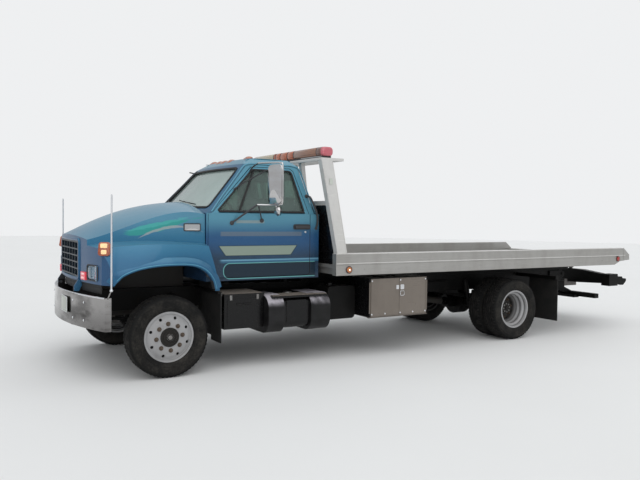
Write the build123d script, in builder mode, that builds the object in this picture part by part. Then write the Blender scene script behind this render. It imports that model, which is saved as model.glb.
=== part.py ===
"""Flatbed tow truck with a tilting, sliding deck and a wheel lift at the tail.

Every sub-part is drawn in millimetres with the front axle at X = 0. X runs back to the tail, Y to the
truck's right-hand side and Z up from the ground. `write` then moves it so that X = 0 is midway between
the front of the bumper and the tip of the wheel lift.
"""
import os
from math import cos, radians, sin

from build123d import *

LEFT, RIGHT = -1, 1
SIDES = {"left": LEFT, "right": RIGHT}

# Overall layout
wheelbase = 4908
bumper_nose_x = -872
bumper_back_x = -833
lift_tip_x = 7930
running_gap = 0.3
seam = 6

# Wheels and tyres
tyre_radius = 419
tyre_width = 248
rim_radius = 260
rim_width = 190
front_wheel_y = 1000
dual_centre_y = 916
dual_spacing = 280
spindle_radius = 38

# Chassis frame
frame_half_width = 432
rail_depth = 230
rail_flange = 76
rail_wall = 8
frame_top_z = 860
frame_front_x = -740
frame_rear_x = 6650

# Cab
cab_front_x = 445
cab_rear_x = 1840
cab_half_width = 960
cab_floor_z = 955
belt_z = 1690
cant_z = 2255
roof_z = 2325
cab_wall = 45
door_hinge_x = 468
steering_hub = (880, -430, 1690)
steering_axis = (0.8538, 0, 0.5206)

# Hood and fenders
hood_front_x = -775
hood_rear_x = 439
hood_bottom_z = 965
hood_wall = 25
hood_pivot_x = -780
hood_pivot_z = 885
grille_half_width = 440

# Deck, tilt frame and headboard
deck_front_x = 1905
deck_rear_x = 7150
deck_half_width = 1250
deck_bottom_z = 990
deck_floor_z = 1100
deck_top_z = 1238
deck_rail_width = 80
floor_plate = 25
winch_plate_z = 1108
winch_plate_rear_x = 2450
tilt_pivot_x = 6720
tilt_pivot_z = 800
tilt_rail_y = 345
tilt_rail_width = 80
tilt_rail_top_z = 975
headboard_top_z = 2310
winch_x = 2240
winch_z = 1235

# Toolboxes
toolbox_front_x = 2410
toolbox_rear_x = 3300
toolbox_bottom_z = 470
toolbox_top_z = 935
toolbox_face_y = 1200

# Tilt cylinders
cylinder_y = 250
barrel_pin_x = 3900
barrel_pin_z = 700
rod_pin_x = 4700
rod_pin_z = 900
barrel_radius = 55
barrel_length = 560
rod_radius = 32

# Wheel lift
lift_pivot_x = 6450
lift_pivot_z = 600
boom_half_width = 70
boom_half_height = 70
boom_wall = 8
boom_rear_x = 7260
crossbar_x = 7500
crossbar_half_length = 800
crossbar_bottom_z = 610
fork_socket_radius = 25


def write(name, part):
    """Centre a finished sub-part along the truck, label it and write its STEP file."""
    centre_x = (bumper_nose_x + lift_tip_x) / 2
    placed = part.moved(Location((-centre_x, 0, 0)))
    placed.label = name
    export_step(placed, f"parts/{name}.step")


def slab(x, y, z, mode=Mode.ADD):
    """Add a box to the open part, given as its low and high value along each axis."""
    with Locations(((x[0] + x[1]) / 2, (y[0] + y[1]) / 2, (z[0] + z[1]) / 2)):
        Box(abs(x[1] - x[0]), abs(y[1] - y[0]), abs(z[1] - z[0]), mode=mode)


def bar(start, end, radius, mode=Mode.ADD):
    """Add a round bar to the open part, from the centre of one end to the centre of the other."""
    run = Vector(*end) - Vector(*start)
    with BuildSketch(Plane(origin=start, z_dir=run.normalized())) as section:
        Circle(radius)
    extrude(section.sketch, amount=run.length, mode=mode)


def side_plate(outline, y_near, y_far, mode=Mode.ADD):
    """Add a plate to the open part: an outline of (x, z) points carried from one Y to another."""
    with BuildSketch(Plane.XZ.offset(-min(y_near, y_far))) as profile:
        Polygon(*outline, align=None)
    extrude(profile.sketch, amount=-abs(y_far - y_near), mode=mode)


def mirrored(part, side):
    """Return a left-hand part as it is, or its mirror image for the right-hand side."""
    return part if side == LEFT else mirror(part, about=Plane.XZ)


# Chassis

def frame_rails():
    """The two channel rails of the chassis."""
    rail_y = frame_half_width - rail_flange / 2
    with BuildPart() as rails:
        with BuildSketch(Plane.YZ.offset(frame_front_x)):
            for side in (LEFT, RIGHT):
                with Locations((side * rail_y, frame_top_z - rail_depth / 2)):
                    Rectangle(rail_flange, rail_depth)
                with Locations((side * (rail_y - rail_wall), frame_top_z - rail_depth / 2)):
                    Rectangle(rail_flange, rail_depth - 2 * rail_wall, mode=Mode.SUBTRACT)
        extrude(amount=frame_rear_x - frame_front_x)
    return rails.part


def crossmembers():
    """Crossmembers between the rails' webs."""
    inner_y = frame_half_width - rail_wall - running_gap
    with BuildPart() as members:
        # x, width, bottom z, top z
        for x, width, low, high in (
            (-620, 90, 640, 700), (1250, 80, 700, 800), (2050, 80, 700, 800), (2850, 80, 700, 800),
            (3720, 80, 700, 800), (4350, 80, 640, 730), (5300, 80, 700, 800), (6000, 80, 700, 800),
        ):
            slab((x - width / 2, x + width / 2), (-inner_y, inner_y), (low, high))
        # The rear one is arched over the lift cylinder
        slab((6380, 6520), (-130, 130), (805, 850))
        for side in (LEFT, RIGHT):
            slab((6380, 6520), (side * 82, side * 130), (700, 850))
            slab((6380, 6520), (side * 82, side * inner_y), (700, 790))
    return members.part


def frame_brackets():
    """The hangers, mounts, arms and hinge ears that stand on the rails and crossmembers."""
    web_y = frame_half_width + running_gap
    rail_end_x = frame_front_x - running_gap
    hanger_top = frame_top_z - rail_depth - running_gap
    with BuildPart() as brackets:
        for side in (LEFT, RIGHT):
            # Ears of the hood hinge, in front of the rails
            slab((-806, rail_end_x), (side * 405, side * frame_half_width), (800, 915))
            bar((hood_pivot_x, side * 392, hood_pivot_z), (hood_pivot_x, side * 445, hood_pivot_z), 16,
                mode=Mode.SUBTRACT)
            # Bumper brackets
            slab((bumper_back_x + running_gap, rail_end_x), (side * 340, side * 400), (632, 740))
            # Spring hangers: x of each spring eye, top of the main leaf there
            for x, leaf_top in ((-645, 594), (645, 594), (wheelbase - 695, 611), (wheelbase + 695, 611)):
                slab((x - 45, x + 45), (side * 362, side * 428), (leaf_top + running_gap, hanger_top))
            # Cab mounts
            for x in (620, 1700):
                bar((x, side * 390, frame_top_z + running_gap), (x, side * 390, cab_floor_z), 45)
            # Tank, battery box and toolbox brackets: x, outer y, bottom z, top z
            for x, reach, low, high in (
                (760, 559.7, 640, 760), (1010, 559.7, 640, 760), (1300, 515.7, 500, 720),
                (1760, 515.7, 500, 720), (2560, 751.7, 640, 720), (3150, 751.7, 640, 720),
            ):
                slab((x - 25, x + 25), (side * web_y, side * reach), (low, high))
            # Arms of the mudflaps
            slab((520, 550), (side * web_y, side * 1110), (832, 858))
            slab((5700, 5740), (side * web_y, side * 1180), (800, 850))
            # Ears of the deck's tilt hinge
            side_plate(((6430, 700), (6430, 850), (6680, 850), (6775, 830), (6775, 770), (6680, 700)),
                       side * web_y, side * (web_y + 25))
            bar((tilt_pivot_x, side * (web_y - 4), tilt_pivot_z),
                (tilt_pivot_x, side * (web_y + 30), tilt_pivot_z), 20 + running_gap, mode=Mode.SUBTRACT)
            # Ears of the tilt cylinders, either side of each barrel's eye
            for offset in (-48, 48):
                y = side * cylinder_y + offset
                slab((3760 + running_gap, 3925), (y - 10, y + 10), (660, 745))
            # Ears of the wheel lift's hinge
            inner = side * (boom_half_width + 12)
            ear_top = 700 - running_gap
            side_plate(((6390, ear_top), (6510, ear_top), (6485, 555), (6415, 555)), inner, inner + side * 22)
            bar((lift_pivot_x, inner - side * 2, lift_pivot_z),
                (lift_pivot_x, inner + side * 30, lift_pivot_z), 20 + running_gap, mode=Mode.SUBTRACT)
        for side in (LEFT, RIGHT):
            bar((barrel_pin_x, side * cylinder_y - 70, barrel_pin_z),
                (barrel_pin_x, side * cylinder_y + 70, barrel_pin_z), 18 + running_gap, mode=Mode.SUBTRACT)
        # Ears of the lift cylinder, behind the crossmember at its foot
        for y in (-45, 45):
            slab((6040 + running_gap, 6100), (y - 8, y + 8), (710, 785))
        bar((6070, -60, 755), (6070, 60, 755), 12 + running_gap, mode=Mode.SUBTRACT)
    return brackets.part


def front_bumper():
    """The bowed channel bumper with a turned-in top and bottom edge, and its two marker rods."""
    top_z, bottom_z, wall, depth = 853, 526, 10, 30

    def bow(inset):
        """Return the bumper's outline in plan, drawn in from its outer face."""
        nose = bumper_nose_x + inset
        with BuildSketch(Plane.XY.offset(bottom_z)) as plan:
            with BuildLine():
                ThreePointArc((-655 + inset, -1150 + inset), (nose, 0), (-655 + inset, 1150 - inset))
                Line((-655 + inset, 1150 - inset), (-520, 1150 - inset))
                Line((-520, 1150 - inset), (-520, -1150 + inset))
                Line((-520, -1150 + inset), (-655 + inset, -1150 + inset))
            make_face()
        return plan.sketch

    with BuildPart() as bumper:
        extrude(bow(0), amount=top_z - bottom_z)
        extrude(bow(wall).moved(Location((0, 0, wall))), amount=top_z - bottom_z - 2 * wall,
                mode=Mode.SUBTRACT)
        extrude(bow(depth).moved(Location((0, 0, -wall))), amount=top_z - bottom_z + 2 * wall,
                mode=Mode.SUBTRACT)
        slab((-595, -500), (-1200, 1200), (bottom_z - 5, top_z + 5), mode=Mode.SUBTRACT)
        for side in (LEFT, RIGHT):
            slab((-845, bumper_back_x), (side * 340, side * 400), (640, 740))
            bar((-630, side * 1143, 840), (-611, side * 1215, 930), 7)
            bar((-611, side * 1215, 926), (-611, side * 1215, 1850), 6)
    return bumper.part


def leaf_pack(centre_x, half_span, centre_z, rise, side, y_centre, leaves, thickness=14, width=70):
    """Add one leaf spring to the open part: arcs of falling length under the main leaf."""
    for number in range(leaves):
        share = 1 - number / leaves
        span = half_span * share
        lift = rise * share ** 2
        low = centre_z - number * thickness
        with BuildSketch(Plane.XZ.offset(-(side * y_centre - width / 2))) as leaf:
            with BuildLine():
                ThreePointArc((centre_x - span, low + lift), (centre_x, low), (centre_x + span, low + lift))
                Line((centre_x + span, low + lift), (centre_x + span, low + lift - thickness))
                ThreePointArc((centre_x + span, low + lift - thickness), (centre_x, low - thickness),
                              (centre_x - span, low + lift - thickness))
                Line((centre_x - span, low + lift - thickness), (centre_x - span, low + lift))
            make_face()
        extrude(leaf.sketch, amount=-width)


def front_axle():
    """Dropped I-beam with its kingpin bosses, and the two leaf springs on its seats."""
    kingpin_y = 880
    hub_z = tyre_radius
    outline = [(-kingpin_y, hub_z - 45), (-700, hub_z - 50), (-560, hub_z - 100), (560, hub_z - 100),
               (700, hub_z - 50), (kingpin_y, hub_z - 45), (kingpin_y, hub_z + 45), (700, hub_z + 45),
               (520, hub_z - 5), (-520, hub_z - 5), (-700, hub_z + 45), (-kingpin_y, hub_z + 45)]
    with BuildPart() as axle:
        with BuildSketch(Plane.YZ.offset(-45)) as beam:
            Polygon(*outline, align=None)
        extrude(beam.sketch, amount=90)
        for side in (LEFT, RIGHT):
            # Waist of the I-section, between its flanges, cut from just past the middle
            for face in (-1, 1):
                slab((face * 14, face * 50), (side * 560, side * -1), (hub_z - 82, hub_z - 23),
                     mode=Mode.SUBTRACT)
            bar((0, side * kingpin_y, hub_z - 58), (0, side * kingpin_y, hub_z + 58), 42)
            slab((-60, 60), (side * 355, side * 435), (hub_z - 8, 484))
            leaf_pack(0, 660, 534, 60, side, 395, 4)
        for side in (LEFT, RIGHT):
            bar((0, side * kingpin_y, hub_z - 70), (0, side * kingpin_y, hub_z + 70), 22 + running_gap,
                mode=Mode.SUBTRACT)
    return axle.part


def rear_axle():
    """Banjo housing with its tubes, spindles and differential nose, and the two rear springs."""
    x, z = wheelbase, tyre_radius
    with BuildPart() as axle:
        bar((x, -620, z), (x, 620, z), 62)
        bar((x, -800, z), (x, 800, z), 45)
        bar((x - 95, 0, z), (x + 95, 0, z), 190)
        bar((x + 95, 0, z), (x + 130, 0, z), 150)
        bar((x - 260, 0, z), (x - 95, 0, z), 95)
        bar((x - 330, 0, z), (x - 260, 0, z), 60)
        for side in (LEFT, RIGHT):
            slab((x - 60, x + 60), (side * 355, side * 435), (z + 40, 502))
            leaf_pack(x, 710, 566, 45, side, 395, 5)
    return axle.part


def engine():
    """The engine as one plain block."""
    with BuildPart() as block:
        slab((-380, 425), (-300, 300), (560, 1220))
    return block.part


def drive_line():
    """Gearbox and propeller shaft from the engine back to the rear axle."""
    nose_x = wheelbase - 330
    with BuildPart() as line:
        slab((425, 1100), (-190, 190), (520, 840))
        bar((1100, 0, 600), (1180, 0, 600), 70)
        bar((1180, 0, 600), (2850, 0, 640), 45)
        slab((2810, 2890), (-80, 80), (590, 700))
        bar((2850, 0, 640), (nose_x - 6, 0, tyre_radius + 4), 45)
    return line.part


def exhaust():
    """Exhaust pipe and silencer, hung from the crossmembers on the right."""
    with BuildPart() as pipe:
        bar((430, 260, 600), (1300, 270, 500), 32)
        bar((1300, 270, 500), (2150, 270, 500), 95)
        bar((2150, 270, 500), (2900, 270, 560), 32)
        for x, low in ((2050, 560), (2850, 560)):
            slab((x - 15, x + 15), (255, 285), (low, 700))
    return pipe.part


def radiator():
    """Radiator core between its side tanks, standing on the front crossmember."""
    with BuildPart() as core:
        slab((-650, -590), (-340, 340), (700, 1340))
        for side in (LEFT, RIGHT):
            slab((-665, -575), (side * 335, side * 400), (frame_top_z + 15, 1300))
    return core.part


def underbody_boxes(kind):
    """Battery boxes with their ribbed lids, or the round-shouldered fuel tanks with their straps."""
    with BuildPart() as boxes:
        for side in (LEFT, RIGHT):
            if kind == "battery":
                slab((640, 1110), (side * 560, side * 1000), (430, 790))
                slab((632, 1116), (side * 552, side * 1010), (790, 812))
            else:
                with BuildSketch(Plane.YZ.offset(1126)) as shell:
                    with Locations((side * 800, 575)):
                        RectangleRounded(560, 350, 95)
                extrude(shell.sketch, amount=816)
                for x in (1300, 1760):
                    with BuildSketch(Plane.YZ.offset(x - 25)) as strap:
                        with Locations((side * 800, 575)):
                            RectangleRounded(568, 358, 99)
                    extrude(strap.sketch, amount=50)
                slab((1180, 1890), (side * 860, side * 1090), (750, 772))
    return boxes.part


def toolbox(side):
    """Open-fronted toolbox under the deck, with the stiles that its doors hinge on."""
    x0, x1, z0, z1 = toolbox_front_x, toolbox_rear_x, toolbox_bottom_z, toolbox_top_z
    inner_y, face_y, wall = 752, toolbox_face_y, 20
    with BuildPart() as box:
        slab((x0, x1), (-inner_y, -(face_y - 26)), (z0, z1))
        slab((x0 + wall, x1 - wall), (-(inner_y + wall), -(face_y + 5)), (z0 + wall, z1 - wall),
             mode=Mode.SUBTRACT)
        for low, high in ((x0, x0 + 30), (x1 - 30, x1)):
            slab((low, high), (-(face_y - 60), -(face_y - 26)), (z0, z1))
        # Outer knuckles of the door hinges and the lugs that carry them
        for x in (x0 + 9, x1 - 9):
            for low, high in ((z0 + 10, z0 + 46 - running_gap), (z1 - 46 + running_gap, z1 - 10)):
                bar((x, -(face_y - 9), low), (x, -(face_y - 9), high), 7)
                slab((x - 4, x + 4), (-(face_y - 30), -(face_y - 9)), (low, high))
    return mirrored(box.part, side)


def toolbox_door(side, leaf):
    """One leaf of a toolbox's pair of doors, with the hinge knuckle between the box's two."""
    x0, x1, z0, z1 = toolbox_front_x, toolbox_rear_x, toolbox_bottom_z, toolbox_top_z
    face_y = toolbox_face_y
    middle = (x0 + x1) / 2
    hinge_x = x0 + 9 if leaf == "front" else x1 - 9
    near = x0 + 22 if leaf == "front" else middle + 2
    far = middle - 2 if leaf == "front" else x1 - 22
    with BuildPart() as door:
        slab((near, far), (-(face_y - 20), -face_y), (z0 + 4, z1 - 4))
        strap = (hinge_x, near) if leaf == "front" else (far, hinge_x)
        slab(strap, (-(face_y - 12), -(face_y - 6)), (z0 + 46, z1 - 46))
        bar((hinge_x, -(face_y - 9), z0 + 46), (hinge_x, -(face_y - 9), z1 - 46), 7)
    return mirrored(door.part, side)


def mud_flaps():
    """Rubber flaps behind the front and the rear wheels."""
    with BuildPart() as flaps:
        for side in (LEFT, RIGHT):
            slab((550, 562), (side * 850, side * 1115), (310, 856))
            slab((5740, 5752), (side * 660, side * 1180), (200, 848))
    return flaps.part


# Cab

def cab_section(z, front_mid, front_corner, side_front, rear, half, corner_y):
    """Return one level of the cab: a bowed front, bevelled pillars, straight sides and a flat back."""
    with BuildSketch(Plane.XY.offset(z)) as section:
        with BuildLine():
            ThreePointArc((front_corner, -corner_y), (front_mid, 0), (front_corner, corner_y))
            Line((front_corner, corner_y), (side_front, half))
            Line((side_front, half), (rear - 50, half))
            Line((rear - 50, half), (rear, half - 50))
            Line((rear, half - 50), (rear, -half + 50))
            Line((rear, -half + 50), (rear - 50, -half))
            Line((rear - 50, -half), (side_front, -half))
            Line((side_front, -half), (front_corner, -corner_y))
        make_face()
    return section.sketch


def cab_form(inset):
    """Return the cab's closed form, drawn in by an inset all round."""
    rake, lean = 1.35 * inset, 1.06 * inset
    base_z = belt_z - min(inset, 20)
    with BuildPart() as form:
        # Levels: z, front middle, front corner, side front, rear, half width, corner y
        levels = (
            (base_z, 370, 480, 515, cab_rear_x, 935, 850),
            (cant_z, 930, 985, 1020, 1705, 735, 680),
            (roof_z - inset, 1060, 1090, 1120, 1640, 610, 570),
        )
        sections = [
            cab_section(z, mid + rake, corner + rake, side + rake, rear - inset, half - lean, edge - lean)
            for z, mid, corner, side, rear, half, edge in levels
        ]
        loft(sections, ruled=True)
        slab((cab_front_x + inset, cab_rear_x - inset),
             (-(cab_half_width - inset), cab_half_width - inset), (cab_floor_z + inset, belt_z))
    return form.part


def cab_width_form(inset):
    """Return a block between the cab's side walls, drawn in by an inset and open along the truck."""
    lean = 1.06 * inset
    with BuildPart() as form:
        sections = []
        # Levels: z, half width, as in the cab's form
        for z, half in ((belt_z - min(inset, 20), 935), (cant_z, 735), (roof_z, 610)):
            with BuildSketch(Plane.XY.offset(z)) as section:
                with Locations((cab_front_x + 700, 0)):
                    Rectangle(2000, 2 * (half - lean))
            sections.append(section.sketch)
        loft(sections, ruled=True)
        slab((cab_front_x - 300, cab_front_x + 1700), (-(cab_half_width - inset), cab_half_width - inset),
             (cab_floor_z - 50, belt_z))
    return form.part


def door_outline(gap):
    """Return the door's outline from the side, drawn in by a gap."""
    return ((462 + gap, 1250), (462 + gap, 1682), (530 + gap, 1705), (1035 + gap, 2205 - gap),
            (1060 + gap, 2222 - gap), (1560 - gap, 2222 - gap), (1600 - gap, 2195 - gap),
            (1725 - gap, 1690), (1725 - gap, 1010), (1700 - gap, 985 + gap), (580 + gap, 985 + gap))


def window_outline(gap):
    """Return the side window's outline, drawn in by a gap."""
    return ((585 + gap, 1712 + gap), (1070 + gap, 2188 - gap), (1545 - gap, 2188 - gap),
            (1570 - gap, 2170 - gap), (1658 - gap, 1712 + gap))


def windshield_outline(gap):
    """Return the windshield's outline from the front, as (y, z) points."""
    return ((-800 + gap, 1752 + gap), (-668 + gap, 2205 - gap), (668 - gap, 2205 - gap),
            (800 - gap, 1752 + gap))


def front_prism(outline, x_low, x_high):
    """Return a block with the given (y, z) outline between two stations."""
    with BuildPart() as prism:
        with BuildSketch(Plane.YZ.offset(x_low)):
            Polygon(*outline, align=None)
        extrude(amount=x_high - x_low)
    return prism.part


def side_prism(outline, y_low, y_high):
    """Return a block with the given (x, z) outline between two widths."""
    with BuildPart() as prism:
        side_plate(outline, y_low, y_high)
    return prism.part


rear_window_outline = ((-560, 1800), (-540, 2110), (540, 2110), (560, 1800))


def cab_shell(outer, inner):
    """The hollow cab: floor, firewall, pillars, roof and back wall, with its doorways and windows cut."""
    with BuildPart() as doorways:
        for side in (LEFT, RIGHT):
            add(side_prism(door_outline(0), side * 600, side * 1100))
        add(cab_width_form(cab_wall), mode=Mode.SUBTRACT)
    with BuildPart() as shell:
        add(outer)
        add(inner, mode=Mode.SUBTRACT)
        add(doorways.part, mode=Mode.SUBTRACT)
        add(front_prism(windshield_outline(0), 250, 1250), mode=Mode.SUBTRACT)
        add(front_prism(rear_window_outline, 1650, 1900), mode=Mode.SUBTRACT)
    return shell.part


def cab_glass():
    """The windshield and the rear window."""
    with BuildPart() as glass:
        add(cab_form(14))
        add(cab_form(20), mode=Mode.SUBTRACT)
        with BuildPart(mode=Mode.PRIVATE) as panes:
            add(front_prism(windshield_outline(running_gap), 250, 1250))
            with BuildSketch(Plane.YZ.offset(1650)):
                Polygon(*((y * 0.999, z + (0.4 if z < 2000 else -0.4)) for y, z in rear_window_outline),
                        align=None)
            extrude(amount=250)
        add(panes.part, mode=Mode.INTERSECT)
    return glass.part


def door(side, outer):
    """A cab door, as thick as the cab's wall, with its window cut and its outside handle."""
    with BuildPart() as leaf:
        add(outer)
        add(cab_width_form(cab_wall - running_gap), mode=Mode.SUBTRACT)
        add(side_prism(door_outline(seam), LEFT * 600, LEFT * 1100), mode=Mode.INTERSECT)
        add(side_prism(window_outline(0), LEFT * 600, LEFT * 1100), mode=Mode.SUBTRACT)
        # Outside handle on its two feet
        for x in (1530, 1690):
            slab((x - 10, x + 10), (-(cab_half_width - 5), -(cab_half_width + 28)), (1533, 1553))
        slab((1515, 1705), (-(cab_half_width + 22), -(cab_half_width + 36)), (1530, 1556))
        # Hinge pins along the front edge
        for z in (1270, 1560):
            bar((door_hinge_x, -cab_half_width, z), (door_hinge_x, -cab_half_width, z + 40), 5)
    return mirrored(leaf.part, side)


def door_glass(side):
    """The side window, with the bar that divides off the quarter light."""
    with BuildPart() as pane:
        add(cab_form(18))
        add(cab_form(24), mode=Mode.SUBTRACT)
        add(side_prism(window_outline(0.6), LEFT * 600, LEFT * 1100), mode=Mode.INTERSECT)
    return mirrored(pane.part, side)


def mirror_set(side):
    """West-coast mirror, its tube arms and the round convex mirror below it."""
    with BuildPart() as mirrors:
        slab((1130, 1172), (-1340, -1165), (1760, 2230))
        bar((1130, -1252, 1690), (1172, -1252, 1690), 72)
        bar((1178, -1252, 1612), (1178, -1252, 2270), 10)
        # Arms: from the mirror's post to a foot on the door
        bar((1178, -1252, 1630), (735, -968, 1584), 9)
        bar((1178, -1252, 1630), (1070, -968, 1600), 9)
        bar((1178, -1252, 2255), (1042, -768, 2180), 9)
        for x, z in ((735, 1584), (1070, 1600)):
            bar((x, -(cab_half_width + running_gap), z), (x, -(cab_half_width + 14), z), 24)
    return mirrored(mirrors.part, side)


def seats():
    """Driver's seat and the passenger bench, each a cushion and a back on a base."""
    with BuildPart() as pair:
        for low, high in ((-800, -280), (-200, 800)):
            slab((1100, 1560), (low + 40, high - 40), (cab_floor_z + cab_wall, 1250))
            slab((1060, 1600), (low, high), (1250, 1420))
            side_plate(((1480, 1415), (1620, 1415), (1665, 1930), (1575, 1930)),
                       max(low, -740), min(high, 740))
    return pair.part


def dashboard():
    """Dashboard across the cab, with the steering column."""
    with BuildPart() as dash:
        side_plate(((491, 1300), (491, 1640), (600, 1690), (760, 1620), (700, 1340)), -880, 880)
        hub = Vector(*steering_hub)
        column = Vector(*steering_axis)
        bar(tuple(hub - column * 240), tuple(hub - column * running_gap), 35)
        bar((560, hub.Y, cab_floor_z + cab_wall), (560, hub.Y, 1310), 25)
    return dash.part


def steering_wheel():
    """Two-spoke steering wheel on the column's end."""
    tilt = Plane(origin=steering_hub, z_dir=steering_axis)
    with BuildPart() as wheel:
        with BuildSketch(tilt) as hub:
            Circle(45)
        extrude(hub.sketch, amount=40)
        with BuildSketch(tilt.offset(15)) as spokes:
            Rectangle(30, 420)
        extrude(spokes.sketch, amount=14)
        with BuildSketch(tilt.offset(6)) as rim:
            Circle(225)
            Circle(196, mode=Mode.SUBTRACT)
        extrude(rim.sketch, amount=30)
    return wheel.part


# Hood

def hood_plan(inset):
    """Return the bowed nose and rounded front corners of the hood, in plan."""
    with BuildSketch(Plane.XY.offset(500)) as plan:
        with BuildLine():
            ThreePointArc((-655 + inset, -1010 + inset), (hood_front_x + inset, 0),
                          (-655 + inset, 1010 - inset))
            Line((-655 + inset, 1010 - inset), (-500 + inset, 1230 - inset))
            Line((-500 + inset, 1230 - inset), (900, 1230 - inset))
            Line((900, 1230 - inset), (900, -1230 + inset))
            Line((900, -1230 + inset), (-500 + inset, -1230 + inset))
            Line((-500 + inset, -1230 + inset), (-655 + inset, -1010 + inset))
        make_face()
    with BuildPart() as prism:
        extrude(plan.sketch, amount=1500)
    return prism.part


def bonnet_form(inset, rear_x):
    """Return the crowned middle of the hood, from the nose to the cab."""
    with BuildPart() as form:
        # Stations: x, bottom half width, shoulder half width, shoulder z, crown z
        stations = (
            (-800, 640, 640, 1385, 1425),
            (-560, 770, 740, 1455, 1555),
            (-200, 900, 860, 1600, 1700),
            (rear_x, 950, 935, 1672, 1815),
        )
        sections = []
        for x, foot, shoulder, shoulder_z, crown_z in stations:
            with BuildSketch(Plane.YZ.offset(x)) as section:
                with BuildLine():
                    Line((foot - inset, hood_bottom_z - 20), (-foot + inset, hood_bottom_z - 20))
                    Line((-foot + inset, hood_bottom_z - 20), (-shoulder + inset, shoulder_z - inset))
                    ThreePointArc((-shoulder + inset, shoulder_z - inset), (0, crown_z - inset),
                                  (shoulder - inset, shoulder_z - inset))
                    Line((shoulder - inset, shoulder_z - inset), (foot - inset, hood_bottom_z - 20))
                make_face()
            sections.append(section.sketch)
        loft(sections)
    return form.part


def fender_form(inset, rear_x):
    """Return the left fender's outer form, with its sloping top and bulged side."""
    bottom = 870
    with BuildPart() as form:
        # Stations: x, top z at the hood's side, crease y, crease z, bulge y, bulge z, foot y
        stations = (
            (-800, 1330, 900, 1300, 960, 1100, 980),
            (-500, 1400, 1050, 1345, 1130, 1160, 1145),
            (0, 1440, 1080, 1365, 1155, 1180, 1165),
            (rear_x, 1430, 1020, 1330, 1085, 1150, 1100),
        )
        sections = []
        for x, top_z, crease_y, crease_z, bulge_y, bulge_z, foot_y in stations:
            with BuildSketch(Plane.YZ.offset(x)) as section:
                with BuildLine():
                    Line((-600, bottom), (-600, top_z - inset))
                    Line((-600, top_z - inset), (-crease_y + inset, crease_z - inset))
                    ThreePointArc((-crease_y + inset, crease_z - inset), (-bulge_y + inset, bulge_z),
                                  (-foot_y + inset, bottom))
                    Line((-foot_y + inset, bottom), (-600, bottom))
                make_face()
            sections.append(section.sketch)
        loft(sections)
    return form.part


def hood():
    """One-piece tilting hood and fenders, a shell with wheel arches and a grille opening."""
    def closed_form(inset, rear_x, fender_rear_x):
        """Return the hood's closed form, drawn in by an inset."""
        with BuildPart() as form:
            add(bonnet_form(inset, rear_x))
            fender = fender_form(inset, fender_rear_x)
            add(fender)
            add(mirror(fender, about=Plane.XZ))
            add(hood_plan(inset), mode=Mode.INTERSECT)
        return form.part

    with BuildPart() as shell:
        add(closed_form(0, hood_rear_x, 545))
        add(closed_form(hood_wall, hood_rear_x + 1, 546), mode=Mode.SUBTRACT)
        # Level the bottom edge outside the arches, and keep clear of the cab and its doors
        slab((-900, -300), (-1300, 1300), (800, hood_bottom_z), mode=Mode.SUBTRACT)
        slab((-300, 620), (-620, 620), (800, hood_bottom_z), mode=Mode.SUBTRACT)
        slab((hood_rear_x, 700), (-972, 972), (700, 1900), mode=Mode.SUBTRACT)
        side_plate(((hood_rear_x, 1500), (hood_rear_x, 1370), (545, 880), (700, 880), (700, 1500)),
                   -1300, 1300, mode=Mode.SUBTRACT)
        # Wheel arches
        with BuildSketch(Plane.XZ.offset(1300)) as arch:
            with BuildLine():
                Spline((-570, 940), (-470, 1065), (-325, 1120), (-104, 1152), (188, 1150), (351, 1099),
                       (456, 992), (494, 880))
                Line((494, 880), (500, 700))
                Line((500, 700), (-575, 700))
                Line((-575, 700), (-570, 940))
            make_face()
        extrude(arch.sketch, amount=-340, mode=Mode.SUBTRACT)
        extrude(arch.sketch.moved(Location((0, 2260, 0))), amount=-340, mode=Mode.SUBTRACT)
        # Grille and headlamp openings
        slab((-900, -640), (-grille_half_width, grille_half_width), (1000, 1385), mode=Mode.SUBTRACT)
        for side in (LEFT, RIGHT):
            slab((-800, -560), (side * 690, side * 930), (1000, 1150), mode=Mode.SUBTRACT)
        # Hinge arms at the front, beside the grille's foot
        for side in (LEFT, RIGHT):
            arm = (side * 442, side * 462)
            side_plate(((-805, 862), (-755, 862), (-700, 975), (-700, 1000), (-752, 1000), (-805, 915)),
                       *arm)
            bar((hood_pivot_x, side * 402, hood_pivot_z), (hood_pivot_x, side * 462, hood_pivot_z),
                16 - running_gap)
    return shell.part


def grille():
    """Egg-crate grille in its frame."""
    edge, inner = grille_half_width - running_gap, grille_half_width - 22
    columns, rows, half_bar = 6, 5, 7
    with BuildPart() as bars:
        slab((-764, -734), (-edge, edge), (1000 + running_gap, 1385 - running_gap))
        slab((-800, -700), (-inner, inner), (1022, 1362), mode=Mode.SUBTRACT)
        for number in range(1, columns):
            y = -inner + number * 2 * inner / columns
            slab((-762, -737), (y - half_bar, y + half_bar), (1020, 1364))
        for number in range(1, rows):
            z = 1022 + number * 340 / rows
            slab((-762, -737), (-inner - 2, inner + 2), (z - half_bar, z + half_bar))
    return bars.part


def front_lamps():
    """The two headlamps, filling their openings in the fenders' fronts."""
    with BuildPart() as lamps:
        for side in (LEFT, RIGHT):
            slab((-690, -600), (side * 690.3, side * 929.7), (1000.3, 1149.7))
    return lamps.part


# Steering and wheels

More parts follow.
